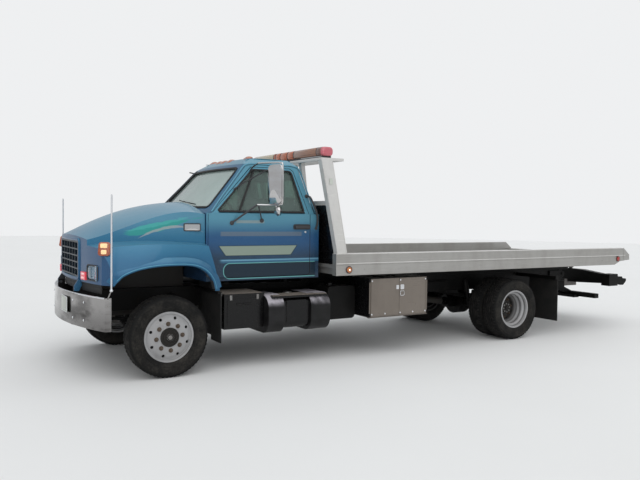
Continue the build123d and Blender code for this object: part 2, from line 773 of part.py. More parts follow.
def knuckle(side):
    """Steering knuckle: a yoke round the axle's end, its kingpin, spindle and steering arm."""
    kingpin_y, z = 880, tyre_radius
    with BuildPart() as yoke:
        for low, high in ((z - 100, z - 63), (z + 63, z + 95)):
            bar((0, -kingpin_y, low), (0, -kingpin_y, high), 44)
            slab((-44, 44), (-kingpin_y, -955), (low, high))
        slab((-44, 44), (-928, -955), (z - 100, z + 95))
        bar((0, -kingpin_y, z - 90), (0, -kingpin_y, z + 90), 22)
        bar((0, -945, z), (0, -1020, z), spindle_radius)
        bar((0, -945, z), (0, -957, z), 150)
        side_plate(((0, z - 100), (0, z - 75), (120, z - 60), (185, z - 60), (185, z - 82), (130, z - 82)),
                   -(kingpin_y - 20), -(kingpin_y + 20))
    return mirrored(yoke.part, side)


def tie_rod():
    """Track rod between the two steering arms, behind the axle."""
    ball_top = tyre_radius - 82 - running_gap
    with BuildPart() as rod:
        bar((160, -880, ball_top - 27), (160, 880, ball_top - 27), 16)
        for side in (LEFT, RIGHT):
            bar((160, side * 880, ball_top - 54), (160, side * 880, ball_top), 22)
    return rod.part


def revolved(profile, centre, outward):
    """Add a ring to the open part: (radius, distance outward) points turned about the wheel's axis."""
    with BuildSketch(Plane(origin=centre, x_dir=(1, 0, 0), z_dir=(0, 0, 1))) as section:
        Polygon(*((radius, outward * out) for radius, out in profile), align=None)
    revolve(section.sketch, axis=Axis(centre, (0, 1, 0)))


def rim_ring(centre, outward):
    """Add a wheel's drop-centre rim to the open part."""
    half, wall = rim_width / 2, 8
    revolved(((rim_radius, half), (rim_radius, half - wall), (rim_radius - 12, half - 14),
              (rim_radius - 18, half - 45), (rim_radius - 45, half - 60), (rim_radius - 45, -half + 60),
              (rim_radius - 18, -half + 45), (rim_radius - 12, -half + 14), (rim_radius, -half + wall),
              (rim_radius, -half), (rim_radius - 20, -half), (rim_radius - 26, -half + 45),
              (rim_radius - 53, -half + 62), (rim_radius - 53, half - 62), (rim_radius - 26, half - 45),
              (rim_radius - 20, half)), centre, outward)


def hand_holes(centre, outward, near, far, ring_radius, hole_radius, phase):
    """Cut the eight hand holes of a wheel disc, from one distance outward to another."""
    x, y, z = centre
    for number in range(8):
        angle = radians(phase + 45 * number)
        hole = (x + ring_radius * cos(angle), z + ring_radius * sin(angle))
        bar((hole[0], y + outward * near, hole[1]), (hole[0], y + outward * far, hole[1]), hole_radius,
            mode=Mode.SUBTRACT)


def front_wheel(side):
    """Front steel wheel: rim, outset dished disc with its small hand holes, hub and drum."""
    centre = (0, -front_wheel_y, tyre_radius)
    with BuildPart() as wheel:
        rim_ring(centre, LEFT)
        # Disc with the hub's cap: from the middle out along the face, and back behind it
        revolved(((0, 80), (0, 130), (34, 130), (42, 114), (98, 110), (106, 102), (160, 102), (198, 94),
                  (226, 80), (240, 80), (240, 72), (223, 70), (194, 83), (158, 90), (90, 90), (90, 80)),
                 centre, LEFT)
        hand_holes(centre, LEFT, 60, 110, 200, 16, 27)
        # Hub and drum behind the disc
        revolved(((0, 20), (0, 82), (86, 82), (86, 40), (190, 31), (190, -36), (180, -36), (180, 20)),
                 centre, LEFT)
        bar((0, -front_wheel_y - 25, tyre_radius), (0, -front_wheel_y + 36, tyre_radius),
            spindle_radius + 40)
        bar((0, -front_wheel_y - 21, tyre_radius), (0, -front_wheel_y + 60, tyre_radius),
            spindle_radius + running_gap, mode=Mode.SUBTRACT)
    return mirrored(wheel.part, side)


def rear_wheels(side):
    """The twin rear wheels: two rims whose discs meet, the hub, the axle flange and the drum."""
    middle = (wheelbase, -dual_centre_y, tyre_radius)
    with BuildPart() as wheels:
        for step in (-1, 1):
            rim_y = dual_centre_y + step * dual_spacing / 2
            rim_ring((wheelbase, -rim_y, tyre_radius), LEFT)
            inner_edge = dual_spacing / 2 - rim_width / 2 + 62
            revolved(((84, 0), (158, 0), (214, step * inner_edge), (206, step * (inner_edge + 12)),
                      (150, step * 12), (84, step * 12)), middle, LEFT)
        hand_holes(middle, LEFT, -40, 40, 180, 24, 22.5)
        revolved(((0, 10), (0, 80), (78, 80), (84, 12), (84, -12), (190, -14), (190, -230), (180, -230),
                  (180, -24), (0, -24)), middle, LEFT)
        bar((wheelbase, -(dual_centre_y - 120), tyre_radius), (wheelbase, -dual_centre_y, tyre_radius), 75)
        bar((wheelbase, -(dual_centre_y - 260), tyre_radius), (wheelbase, -806, tyre_radius),
            45 + running_gap, mode=Mode.SUBTRACT)
    return mirrored(wheels.part, side)


def tyres(axle_x, side, centres):
    """Tyres on the given wheel centres, each a closed ring with rounded shoulders."""
    half, seat = tyre_width / 2, rim_radius + running_gap
    with BuildPart() as ring:
        for y in centres:
            centre = (axle_x, -y, tyre_radius)
            with BuildSketch(Plane(origin=centre, x_dir=(1, 0, 0), z_dir=(0, 0, 1))) as section:
                with BuildLine():
                    Line((seat, -half + 30), (seat, half - 30))
                    ThreePointArc((seat, half - 30), (seat + 70, half), (tyre_radius - 24, half - 14))
                    ThreePointArc((tyre_radius - 24, half - 14), (tyre_radius - 6, half - 22),
                                  (tyre_radius, half - 40))
                    Line((tyre_radius, half - 40), (tyre_radius, -half + 40))
                    ThreePointArc((tyre_radius, -half + 40), (tyre_radius - 6, -half + 22),
                                  (tyre_radius - 24, -half + 14))
                    ThreePointArc((tyre_radius - 24, -half + 14), (seat + 70, -half), (seat, -half + 30))
                make_face()
            revolve(section.sketch, axis=Axis(centre, (0, 1, 0)))
    return mirrored(ring.part, side)


# Deck

def tilt_frame():
    """Tilting frame under the deck: two rails with slide pads, crossmembers and hinge lugs."""
    inner, outer = tilt_rail_y, tilt_rail_y + tilt_rail_width
    rail_bottom = frame_top_z + running_gap
    with BuildPart() as frame:
        for side in (LEFT, RIGHT):
            slab((1960, 6900), (side * inner, side * outer), (rail_bottom, tilt_rail_top_z))
            for x in (2000, 2900, 3800, 4700, 5600, 6820):
                slab((x, x + 60), (side * inner, side * outer),
                     (tilt_rail_top_z, deck_bottom_z - running_gap))
            # Hinge lug and pin
            slab((tilt_pivot_x - 40, tilt_pivot_x + 40), (side * (inner + 25), side * outer),
                 (tilt_pivot_z - 30, rail_bottom + 10))
            bar((tilt_pivot_x, side * (outer - 20), tilt_pivot_z), (tilt_pivot_x, side * 470, tilt_pivot_z),
                20)
            # Lugs either side of each cylinder rod's eye
            for offset in (-48, 48):
                y = side * cylinder_y + offset
                slab((rod_pin_x - 40, rod_pin_x + 40), (y - 8, y + 8), (rod_pin_z - 35, 960))
            slab((rod_pin_x - 40, rod_pin_x + 40), (side * 194, side * 345), (948, 972))
        for x in (1960, 2800, 3600, 4830, 5500, 6820):
            slab((x, x + 80), (-inner, inner), (rail_bottom + 30, tilt_rail_top_z - 20))
    return frame.part


def deck_floor():
    """Deck floor on its sills and cross bearers, with the tail beam."""
    inner_y = deck_half_width - deck_rail_width
    plate_bottom = deck_floor_z - floor_plate
    with BuildPart() as floor:
        slab((deck_front_x, deck_rear_x), (-inner_y, inner_y), (plate_bottom, deck_floor_z))
        for side in (LEFT, RIGHT):
            slab((deck_front_x, 6930), (side * tilt_rail_y, side * (tilt_rail_y + tilt_rail_width)),
                 (deck_bottom_z, plate_bottom))
        for number in range(9):
            x = deck_front_x + 20 + number * 620
            slab((x, x + 50), (-inner_y, inner_y), (deck_bottom_z + 10, plate_bottom))
        # Raised plate under the headboard and the winch
        slab((deck_front_x, winch_plate_rear_x), (-inner_y, inner_y), (plate_bottom, winch_plate_z))
    return floor.part


def deck_rails():
    """The deck's side rails, cut back at the tail, and the beam that joins them there."""
    with BuildPart() as rails:
        for side in (LEFT, RIGHT):
            outer, inner = side * deck_half_width, side * (deck_half_width - deck_rail_width)
            side_plate(((deck_front_x, deck_bottom_z), (6940, deck_bottom_z), (7060, 1040), (7290, 1060),
                        (7290, 1130), (7150, deck_top_z), (deck_front_x, deck_top_z)), inner, outer)
            groove = (side * (deck_half_width - 5), side * (deck_half_width + 5))
            slab((deck_front_x - 5, 7400), groove, (1108, 1122), mode=Mode.SUBTRACT)
        slab((deck_rear_x, 7290), (-(deck_half_width - deck_rail_width), deck_half_width - deck_rail_width),
             (1060, 1125))
    return rails.part


def post_section(z, x_low, x_high, y_low, y_high):
    """Return one level of a headboard post."""
    with BuildSketch(Plane.XY.offset(z)) as section:
        with Locations(((x_low + x_high) / 2, (y_low + y_high) / 2)):
            Rectangle(x_high - x_low, y_high - y_low)
    return section.sketch


def headboard():
    """Forward-leaning headboard: two posts, the top shelf, the lower panel and its uprights."""
    with BuildPart() as board:
        for side in (LEFT, RIGHT):
            base = sorted((side * 1172, side * 1248))
            head = sorted((side * 1062, side * 1138))
            with BuildPart(mode=Mode.PRIVATE) as post:
                loft([post_section(deck_top_z, 1920, 2050, *base),
                      post_section(headboard_top_z, 1760, 1900, *head)], ruled=True)
            add(post.part)
        slab((1760, 2060), (-1138, 1138), (headboard_top_z, headboard_top_z + 30))
        # Lower panel and uprights
        foot_z = winch_plate_z
        side_plate(((1935, foot_z), (1965, foot_z), (1905, 1800), (1875, 1800)), -1168, 1168)
        for y in (-560, 0, 560):
            side_plate(((1965, foot_z), (2005, foot_z), (1850, 2312), (1800, 2312)), y - 30, y + 30)
        side_plate(((1900, 1795), (1950, 1795), (1945, 1850), (1890, 1850)), -1150, 1150)
    return board.part


def light_bar():
    """Beacon bar on its feet above the headboard."""
    shelf_z = headboard_top_z + 30
    with BuildPart() as beacon:
        with BuildSketch(Plane.XZ.offset(-950)) as section:
            with Locations((1967, shelf_z + 95)):
                RectangleRounded(250, 120, 50)
        extrude(section.sketch, amount=1900)
        for y in (-700, 700):
            slab((1927, 2007), (y - 40, y + 40), (shelf_z, shelf_z + 40))
    return beacon.part


def winch():
    """Winch frame: two end plates with tie bars, motor and gearbox."""
    with BuildPart() as frame:
        for side in (LEFT, RIGHT):
            slab((2080, 2400), (side * 250, side * 270), (winch_plate_z, 1360))
        for x, z in ((2095, 1340), (2385, 1340), (2095, 1121), (2385, 1121)):
            slab((x - 12, x + 12), (-270, 270), (z - 12, z + 12))
        bar((winch_x, 270, winch_z), (winch_x, 470, winch_z), 80)
        bar((winch_x, -270, winch_z), (winch_x, -400, winch_z), 90)
        bar((winch_x, -300, winch_z), (winch_x, 300, winch_z), 30)
    return frame.part


def winch_drum():
    """Cable drum between its flanges, turning on the winch's shaft."""
    with BuildPart() as drum:
        bar((winch_x, -235, winch_z), (winch_x, 235, winch_z), 70)
        for side in (LEFT, RIGHT):
            bar((winch_x, side * 225, winch_z), (winch_x, side * 240, winch_z), 105)
        bar((winch_x, -245, winch_z), (winch_x, 245, winch_z), 30 + running_gap, mode=Mode.SUBTRACT)
    return drum.part


# Cylinders

def cylinder_axis():
    """Return the tilt cylinders' direction and length between pins at rest."""
    run = Vector(rod_pin_x - barrel_pin_x, 0, rod_pin_z - barrel_pin_z)
    return run.normalized(), run.length


def tilt_cylinder_barrels():
    """Barrels of the two tilt cylinders, each with its foot eye and pin."""
    direction, _ = cylinder_axis()
    with BuildPart() as barrels:
        for side in (LEFT, RIGHT):
            foot = Vector(barrel_pin_x, side * cylinder_y, barrel_pin_z)
            bar(tuple(foot + direction * 60), tuple(foot + direction * barrel_length), barrel_radius)
            bar(tuple(foot), tuple(foot + direction * 70), 30)
            bar((foot.X, foot.Y - 33, foot.Z), (foot.X, foot.Y + 33, foot.Z), 36)
            bar((foot.X, foot.Y - 62, foot.Z), (foot.X, foot.Y + 62, foot.Z), 18)
        for side in (LEFT, RIGHT):
            foot = Vector(barrel_pin_x, side * cylinder_y, barrel_pin_z)
            bar(tuple(foot + direction * 110), tuple(foot + direction * (barrel_length + 5)),
                rod_radius + running_gap, mode=Mode.SUBTRACT)
    return barrels.part


def tilt_cylinder_rods():
    """Rods of the two tilt cylinders, each with its bored eye."""
    direction, length = cylinder_axis()
    with BuildPart() as rods:
        for side in (LEFT, RIGHT):
            foot = Vector(barrel_pin_x, side * cylinder_y, barrel_pin_z)
            bar(tuple(foot + direction * 130), tuple(foot + direction * (length - 20)), rod_radius)
            eye = foot + direction * length
            bar((eye.X, eye.Y - 33, eye.Z), (eye.X, eye.Y + 33, eye.Z), 36)
            bar((eye.X, eye.Y - 40, eye.Z), (eye.X, eye.Y + 40, eye.Z), 18, mode=Mode.SUBTRACT)
    return rods.part


# Wheel lift

def lift_boom():
    """Outer boom of the wheel lift, hinged under the chassis, with its rear step."""
    half, high = boom_half_width, boom_half_height
    with BuildPart() as boom:
        top, bottom = lift_pivot_z + high, lift_pivot_z - high
        side_plate(((6400, bottom + 30), (6560, bottom), (boom_rear_x, bottom), (boom_rear_x, top),
                    (6560, top), (6400, top - 30)), -half, half)
        slab((6562, boom_rear_x + 5), (-half + boom_wall, half - boom_wall),
             (bottom + boom_wall, top - boom_wall), mode=Mode.SUBTRACT)
        bar((lift_pivot_x, -110, lift_pivot_z), (lift_pivot_x, 110, lift_pivot_z), 20)
        # Lug of the lift cylinder's rod, its bore left open
        for y in (-40, 40):
            slab((6770, 6830), (y - 8, y + 8), (lift_pivot_z + high, 770))
        # Step: two gusseted hangers and the bar across
        for side in (LEFT, RIGHT):
            side_plate(((6980, 532), (7250, 532), (7480, 440), (7480, 400), (7380, 400)), side * 50,
                       side * 68)
        slab((7380, 7480), (-580, 580), (378, 448))
        slab((7300, 7420), (-240, 240), (360, 400))
    return boom.part


def lift_slide():
    """Inner boom of the wheel lift, with the tongue and pin that carry the crossbar."""
    gap = boom_wall + 5
    half, high = boom_half_width - gap, boom_half_height - gap
    with BuildPart() as slide:
        slab((6580, 7350), (-half, half), (lift_pivot_z - high, lift_pivot_z + high))
        slab((6590, 6640), (-half - 5 + running_gap, half + 5 - running_gap),
             (lift_pivot_z - high - 5 + running_gap, lift_pivot_z + high + 5 - running_gap))
        slab((7340, 7580), (-half, half), (lift_pivot_z - high, crossbar_bottom_z - 5))
        bar((crossbar_x, 0, lift_pivot_z - high), (crossbar_x, 0, 850), 30)
        bar((crossbar_x, 0, crossbar_bottom_z - 6), (crossbar_x, 0, crossbar_bottom_z - running_gap), 52)
        bar((crossbar_x, 0, 850), (crossbar_x, 0, 866), 44)
    return slide.part


def lift_crossbar():
    """Crossbar on its pivot, with the receivers and hook arms at its two ends."""
    top = 830
    with BuildPart() as crossbar:
        with BuildSketch(Plane.YZ.offset(crossbar_x - 60)) as side_view:
            Polygon((-crossbar_half_length, 640), (-200, crossbar_bottom_z), (200, crossbar_bottom_z),
                    (crossbar_half_length, 640), (crossbar_half_length, 770), (250, top), (-250, top),
                    (-crossbar_half_length, 770), align=None)
        extrude(side_view.sketch, amount=120)
        bar((crossbar_x, 0, 600), (crossbar_x, 0, 900), 30 + running_gap, mode=Mode.SUBTRACT)
        for side in (LEFT, RIGHT):
            y = side * (crossbar_half_length - 60)
            slab((7425, 7640), (y - 75, y + 75), (600, 790))
            slab((7630, 7800), (y - 45, y + 45), (620, 740))
            side_plate(((7790, 720), (7930, 700), (7930, 660), (7860, 600), (7790, 600)), y - 25, y + 25)
            # Socket for a fork's stem
            bar((7530, y, 590), (7530, y, 800), fork_socket_radius, mode=Mode.SUBTRACT)
    return crossbar.part


def lift_cylinder_axis():
    """Return the lift cylinder's foot, direction and length between pins at rest."""
    foot = Vector(6070, 0, 755)
    run = Vector(6800, 0, 735) - foot
    return foot, run.normalized(), run.length


def lift_cylinder_barrel():
    """Barrel of the wheel lift's cylinder, with its foot pin."""
    foot, direction, _ = lift_cylinder_axis()
    with BuildPart() as barrel:
        bar(tuple(foot + direction * 45), tuple(foot + direction * 480), 38)
        bar((foot.X, -30, foot.Z), (foot.X, 30, foot.Z), 28)
        bar((foot.X, -55, foot.Z), (foot.X, 55, foot.Z), 12)
        bar(tuple(foot), tuple(foot + direction * 50), 22)
        bar(tuple(foot + direction * 80), tuple(foot + direction * 490), 22 + running_gap,
            mode=Mode.SUBTRACT)
    return barrel.part


def lift_cylinder_rod():
    """Rod of the wheel lift's cylinder, with its bored eye."""
    foot, direction, length = lift_cylinder_axis()
    with BuildPart() as rod:
        bar(tuple(foot + direction * 100), tuple(foot + direction * (length - 15)), 22)
        eye = foot + direction * length
        bar((eye.X, -26, eye.Z), (eye.X, 26, eye.Z), 27)
        bar((eye.X, -30, eye.Z), (eye.X, 30, eye.Z), 12, mode=Mode.SUBTRACT)
    return rod.part


def main():
    """Build every sub-part and write one STEP file for each."""
    os.makedirs("parts", exist_ok=True)
    outer, inner = cab_form(0), cab_form(cab_wall)
    pieces = {
        "frame_rails": frame_rails(), "crossmembers": crossmembers(), "frame_brackets": frame_brackets(),
        "front_bumper": front_bumper(), "front_axle": front_axle(),
        "rear_axle": rear_axle(), "engine": engine(), "drive_line": drive_line(), "exhaust": exhaust(),
        "radiator": radiator(), "battery_boxes": underbody_boxes("battery"),
        "fuel_tanks": underbody_boxes("fuel"), "mud_flaps": mud_flaps(),
        "cab_shell": cab_shell(outer, inner), "cab_glass": cab_glass(), "seats": seats(),
        "dashboard": dashboard(), "steering_wheel": steering_wheel(),
        "hood": hood(), "grille": grille(), "front_lamps": front_lamps(), "tie_rod": tie_rod(),
        "tilt_frame": tilt_frame(), "deck_floor": deck_floor(), "deck_rails": deck_rails(),
        "headboard": headboard(), "light_bar": light_bar(), "winch": winch(), "winch_drum": winch_drum(),
        "tilt_cylinder_barrels": tilt_cylinder_barrels(), "tilt_cylinder_rods": tilt_cylinder_rods(),
        "lift_boom": lift_boom(), "lift_slide": lift_slide(), "lift_crossbar": lift_crossbar(),
        "lift_cylinder_barrel": lift_cylinder_barrel(), "lift_cylinder_rod": lift_cylinder_rod(),
    }
    for hand, side in SIDES.items():
        pieces[f"door_{hand}"] = door(side, outer)
        pieces[f"door_glass_{hand}"] = door_glass(side)
        pieces[f"mirror_{hand}"] = mirror_set(side)
        pieces[f"knuckle_{hand}"] = knuckle(side)
        pieces[f"front_wheel_{hand}"] = front_wheel(side)
        pieces[f"front_tyre_{hand}"] = tyres(0, side, (front_wheel_y,))
        pieces[f"rear_wheels_{hand}"] = rear_wheels(side)
        pieces[f"rear_tyres_{hand}"] = tyres(wheelbase, side, (dual_centre_y - dual_spacing / 2,
                                                               dual_centre_y + dual_spacing / 2))
        pieces[f"toolbox_{hand}"] = toolbox(side)
        for leaf in ("front", "rear"):
            pieces[f"toolbox_{leaf}_door_{hand}"] = toolbox_door(side, leaf)
    for name, part in pieces.items():
        write(name, part)


if __name__ == "__main__":
    main()
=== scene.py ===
"""Flatbed tow truck in a pale studio: finishes, fittings, tyres, seats, light and camera.

Everything is in metres: X runs back along the truck, Y to its right-hand side and Z up from the
ground. Shapes are worked out from the front axle, and Piece.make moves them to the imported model's
frame, which finishes are written in. New pieces are surfaces worked out with numpy and dressed
with node-based finishes.
"""
import sys

import logging
import math
from collections.abc import Callable
from dataclasses import dataclass, field
from enum import Enum

import bmesh
import bpy
import numpy as np
from mathutils import Matrix, Vector


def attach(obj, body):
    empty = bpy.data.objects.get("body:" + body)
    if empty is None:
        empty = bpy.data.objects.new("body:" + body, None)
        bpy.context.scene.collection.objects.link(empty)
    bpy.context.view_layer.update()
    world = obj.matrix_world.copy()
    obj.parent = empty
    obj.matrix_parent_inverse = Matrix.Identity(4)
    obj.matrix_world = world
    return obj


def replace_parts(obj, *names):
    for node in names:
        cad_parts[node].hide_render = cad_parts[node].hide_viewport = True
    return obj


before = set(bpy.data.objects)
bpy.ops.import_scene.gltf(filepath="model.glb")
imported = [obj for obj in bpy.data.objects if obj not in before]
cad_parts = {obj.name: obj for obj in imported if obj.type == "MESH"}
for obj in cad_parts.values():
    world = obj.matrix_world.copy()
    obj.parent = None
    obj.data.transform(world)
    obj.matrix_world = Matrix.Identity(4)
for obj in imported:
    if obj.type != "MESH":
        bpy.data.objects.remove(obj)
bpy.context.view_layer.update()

log = logging.getLogger("tow_truck")

FRONT_AXLE_X = -3.529
REAR_AXLE_X = 1.379
AXLE_Z = 0.419
WHEELBASE = 4.908
LEFT, RIGHT = -1.0, 1.0
SIDE_NAMES = ((LEFT, "left"), (RIGHT, "right"))
# Directions, OUT being that of the left-hand side, where shapes are worked out before they are mirrored
OUT = (0.0, -1.0, 0.0)
AHEAD = (-1.0, 0.0, 0.0)
BACK = (1.0, 0.0, 0.0)
UP = (0.0, 0.0, 1.0)
# Least length that is divided by, and the divisor that lets two edges fit into one thickness
SMALLEST = 1e-9
TWO_EDGES = 2.01


# Shader graph


class Signal:
    """A socket's value; arithmetic on it adds Math nodes to the graph it belongs to."""

    def __init__(self, graph: "Graph", socket: bpy.types.NodeSocket) -> None:
        """Keep the graph and the socket that the value comes out of."""
        self.graph = graph
        self.socket = socket

    def __add__(self, other: "Number") -> "Signal":
        """Return self + other."""
        return self.graph.math("ADD", self, other)

    __radd__ = __add__

    def __sub__(self, other: "Number") -> "Signal":
        """Return self - other."""
        return self.graph.math("SUBTRACT", self, other)

    def __rsub__(self, other: "Number") -> "Signal":
        """Return other - self."""
        return self.graph.math("SUBTRACT", other, self)

    def __mul__(self, other: "Number") -> "Signal":
        """Return self * other."""
        return self.graph.math("MULTIPLY", self, other)

    __rmul__ = __mul__

    def __pow__(self, other: "Number") -> "Signal":
        """Return self raised to other."""
        return self.graph.math("POWER", self, other)

    def __abs__(self) -> "Signal":
        """Return the value without its sign."""
        return self.graph.math("ABSOLUTE", self)

    def output(self, which: int | str) -> "Signal":
        """Return another output of the node that the value comes out of."""
        return Signal(self.graph, self.socket.node.outputs[which])


Number = Signal | float
Triple = tuple[Signal, Signal, Signal]
Colour = tuple[float, float, float]


def shade(colour: Colour, factor: float) -> Colour:
    """Return a colour made darker or lighter by a factor."""
    return tuple(factor * part for part in colour)


class Graph:
    """A material's or a world's nodes, added by a single method and by arithmetic on signals."""

    def __init__(self, owner: bpy.types.Material | bpy.types.World) -> None:
        """Start an empty node tree for its owner."""
        owner.use_nodes = True
        self.owner = owner
        self.tree = owner.node_tree
        self.tree.nodes.clear()

    def node(self, kind: str, settings: dict | None = None, inputs: dict | None = None,
             out: int | str = 0) -> Signal:
        """Add a node, set its options first and then its sockets.

        Args:
            kind: The node's type name.
            settings: Attribute names and values.
            inputs: Socket name or index to a value, a colour or a signal.
            out: Name or index of the socket that is returned.

        Returns:
            The signal of the chosen output.
        """
        made = self.tree.nodes.new(kind)
        for key, value in (settings or {}).items():
            setattr(made, key, value)
        for key, value in (inputs or {}).items():
            socket = made.inputs[key]
            if isinstance(value, Signal):
                self.tree.links.new(value.socket, socket)
            elif isinstance(value, tuple) and len(value) == 3 and socket.type == "RGBA":
                socket.default_value = (*value, 1.0)
            else:
                socket.default_value = value
        return Signal(self, made.outputs[out])

    def math(self, operation: str, *values: Number) -> Signal:
        """Return the result of one Math node on up to three values."""
        return self.node("ShaderNodeMath", {"operation": operation}, dict(enumerate(values)))

    def mix(self, factor: Number, first: Signal | Colour, second: Signal | Colour) -> Signal:
        """Return the first colour turned into the second by a factor."""
        # Inputs 6 and 7 and output 2 are the node's colours, those before them numbers and vectors
        return self.node("ShaderNodeMix", {"data_type": "RGBA"}, {0: factor, 6: first, 7: second}, 2)

    def place(self) -> Signal:
        """Return the point on the surface, in metres."""
        return self.node("ShaderNodeTexCoord", out="Object")

    def split(self, vector: Signal) -> Triple:
        """Return a vector's X, Y and Z."""
        first = self.node("ShaderNodeSeparateXYZ", inputs={0: vector})
        return tuple(first.output(number) for number in range(3))

    def axes(self) -> Triple:
        """Return the point's X, Y and Z."""
        return self.split(self.place())

    def facing(self) -> Triple:
        """Return the X, Y and Z of the way that the surface looks."""
        return self.split(self.node("ShaderNodeTexCoord", out="Normal"))

    def noise(self, scale: float, detail: float = 3.0, stretch: Colour = (1.0, 1.0, 1.0),
              roughness: float = 0.55) -> Signal:
        """Return a cloudy pattern from 0 to 1, with a mean near a half.

        Args:
            scale: Blotches to the metre.
            detail: Octaves of finer blotches.
            stretch: Factors on X, Y and Z; a small one draws the pattern out that way.
            roughness: Weight of the finer blotches.

        Returns:
            The pattern's value.
        """
        where = self.node("ShaderNodeMapping", inputs={"Vector": self.place(), "Scale": stretch})
        return self.node("ShaderNodeTexNoise", inputs={
            "Vector": where, "Scale": scale, "Detail": detail, "Roughness": roughness})

    def step(self, value: Number, low: float, high: float) -> Signal:
        """Return 0 below low, 1 above high and a smooth rise between them; low may be the higher."""
        if low > high:
            return 1 - self.step(value, high, low)
        return self.node("ShaderNodeMapRange", {"interpolation_type": "SMOOTHSTEP"},
                         {"Value": value, "From Min": low, "From Max": high})

    def window(self, value: Number, low: float, high: float, soft: float) -> Signal:
        """Return 1 between low and high, with edges that are soft wide."""
        return self.step(value, low - soft, low) * self.step(value, high + soft, high)

    def line(self, value: Number, middle: float, half: float, soft: float) -> Signal:
        """Return 1 within half of the middle, with edges that are soft wide."""
        return self.step(abs(value - middle), half + soft, half)

    def bump(self, height: Signal, distance: float, strength: float = 1.0) -> Signal:
        """Return the normal that a height map gives, its full height being the distance in metres."""
        return self.node("ShaderNodeBump", inputs={
            "Height": height, "Distance": distance, "Strength": strength})

    def surface(self, **inputs: object) -> Signal:
        """Return a Principled shader with the given sockets, underscores standing for blanks."""
        named = {key.replace("_", " "): value for key, value in inputs.items()}
        return self.node("ShaderNodeBsdfPrincipled", inputs=named)

    def close(self, shader: Signal) -> bpy.types.Material | bpy.types.World:
        """Add the output node behind the finished shader and return the graph's owner."""
        kind = "Material" if isinstance(self.owner, bpy.types.Material) else "World"
        output = self.tree.nodes.new(f"ShaderNodeOutput{kind}")
        self.tree.links.new(shader.socket, output.inputs["Surface"])
        return self.owner


# Finishes


@dataclass(frozen=True)
class Finish:
    """A finish by name; each kind says in `nodes` how its nodes are joined."""

    name: str

    def build(self) -> bpy.types.Material:
        """Return the material, made once for each name."""
        known = bpy.data.materials.get(self.name)
        if known:
            return known
        graph = Graph(bpy.data.materials.new(self.name))
        return graph.close(self.nodes(graph))

    def nodes(self, graph: Graph) -> Signal:
        """Fill the graph and return its shader."""
        raise NotImplementedError


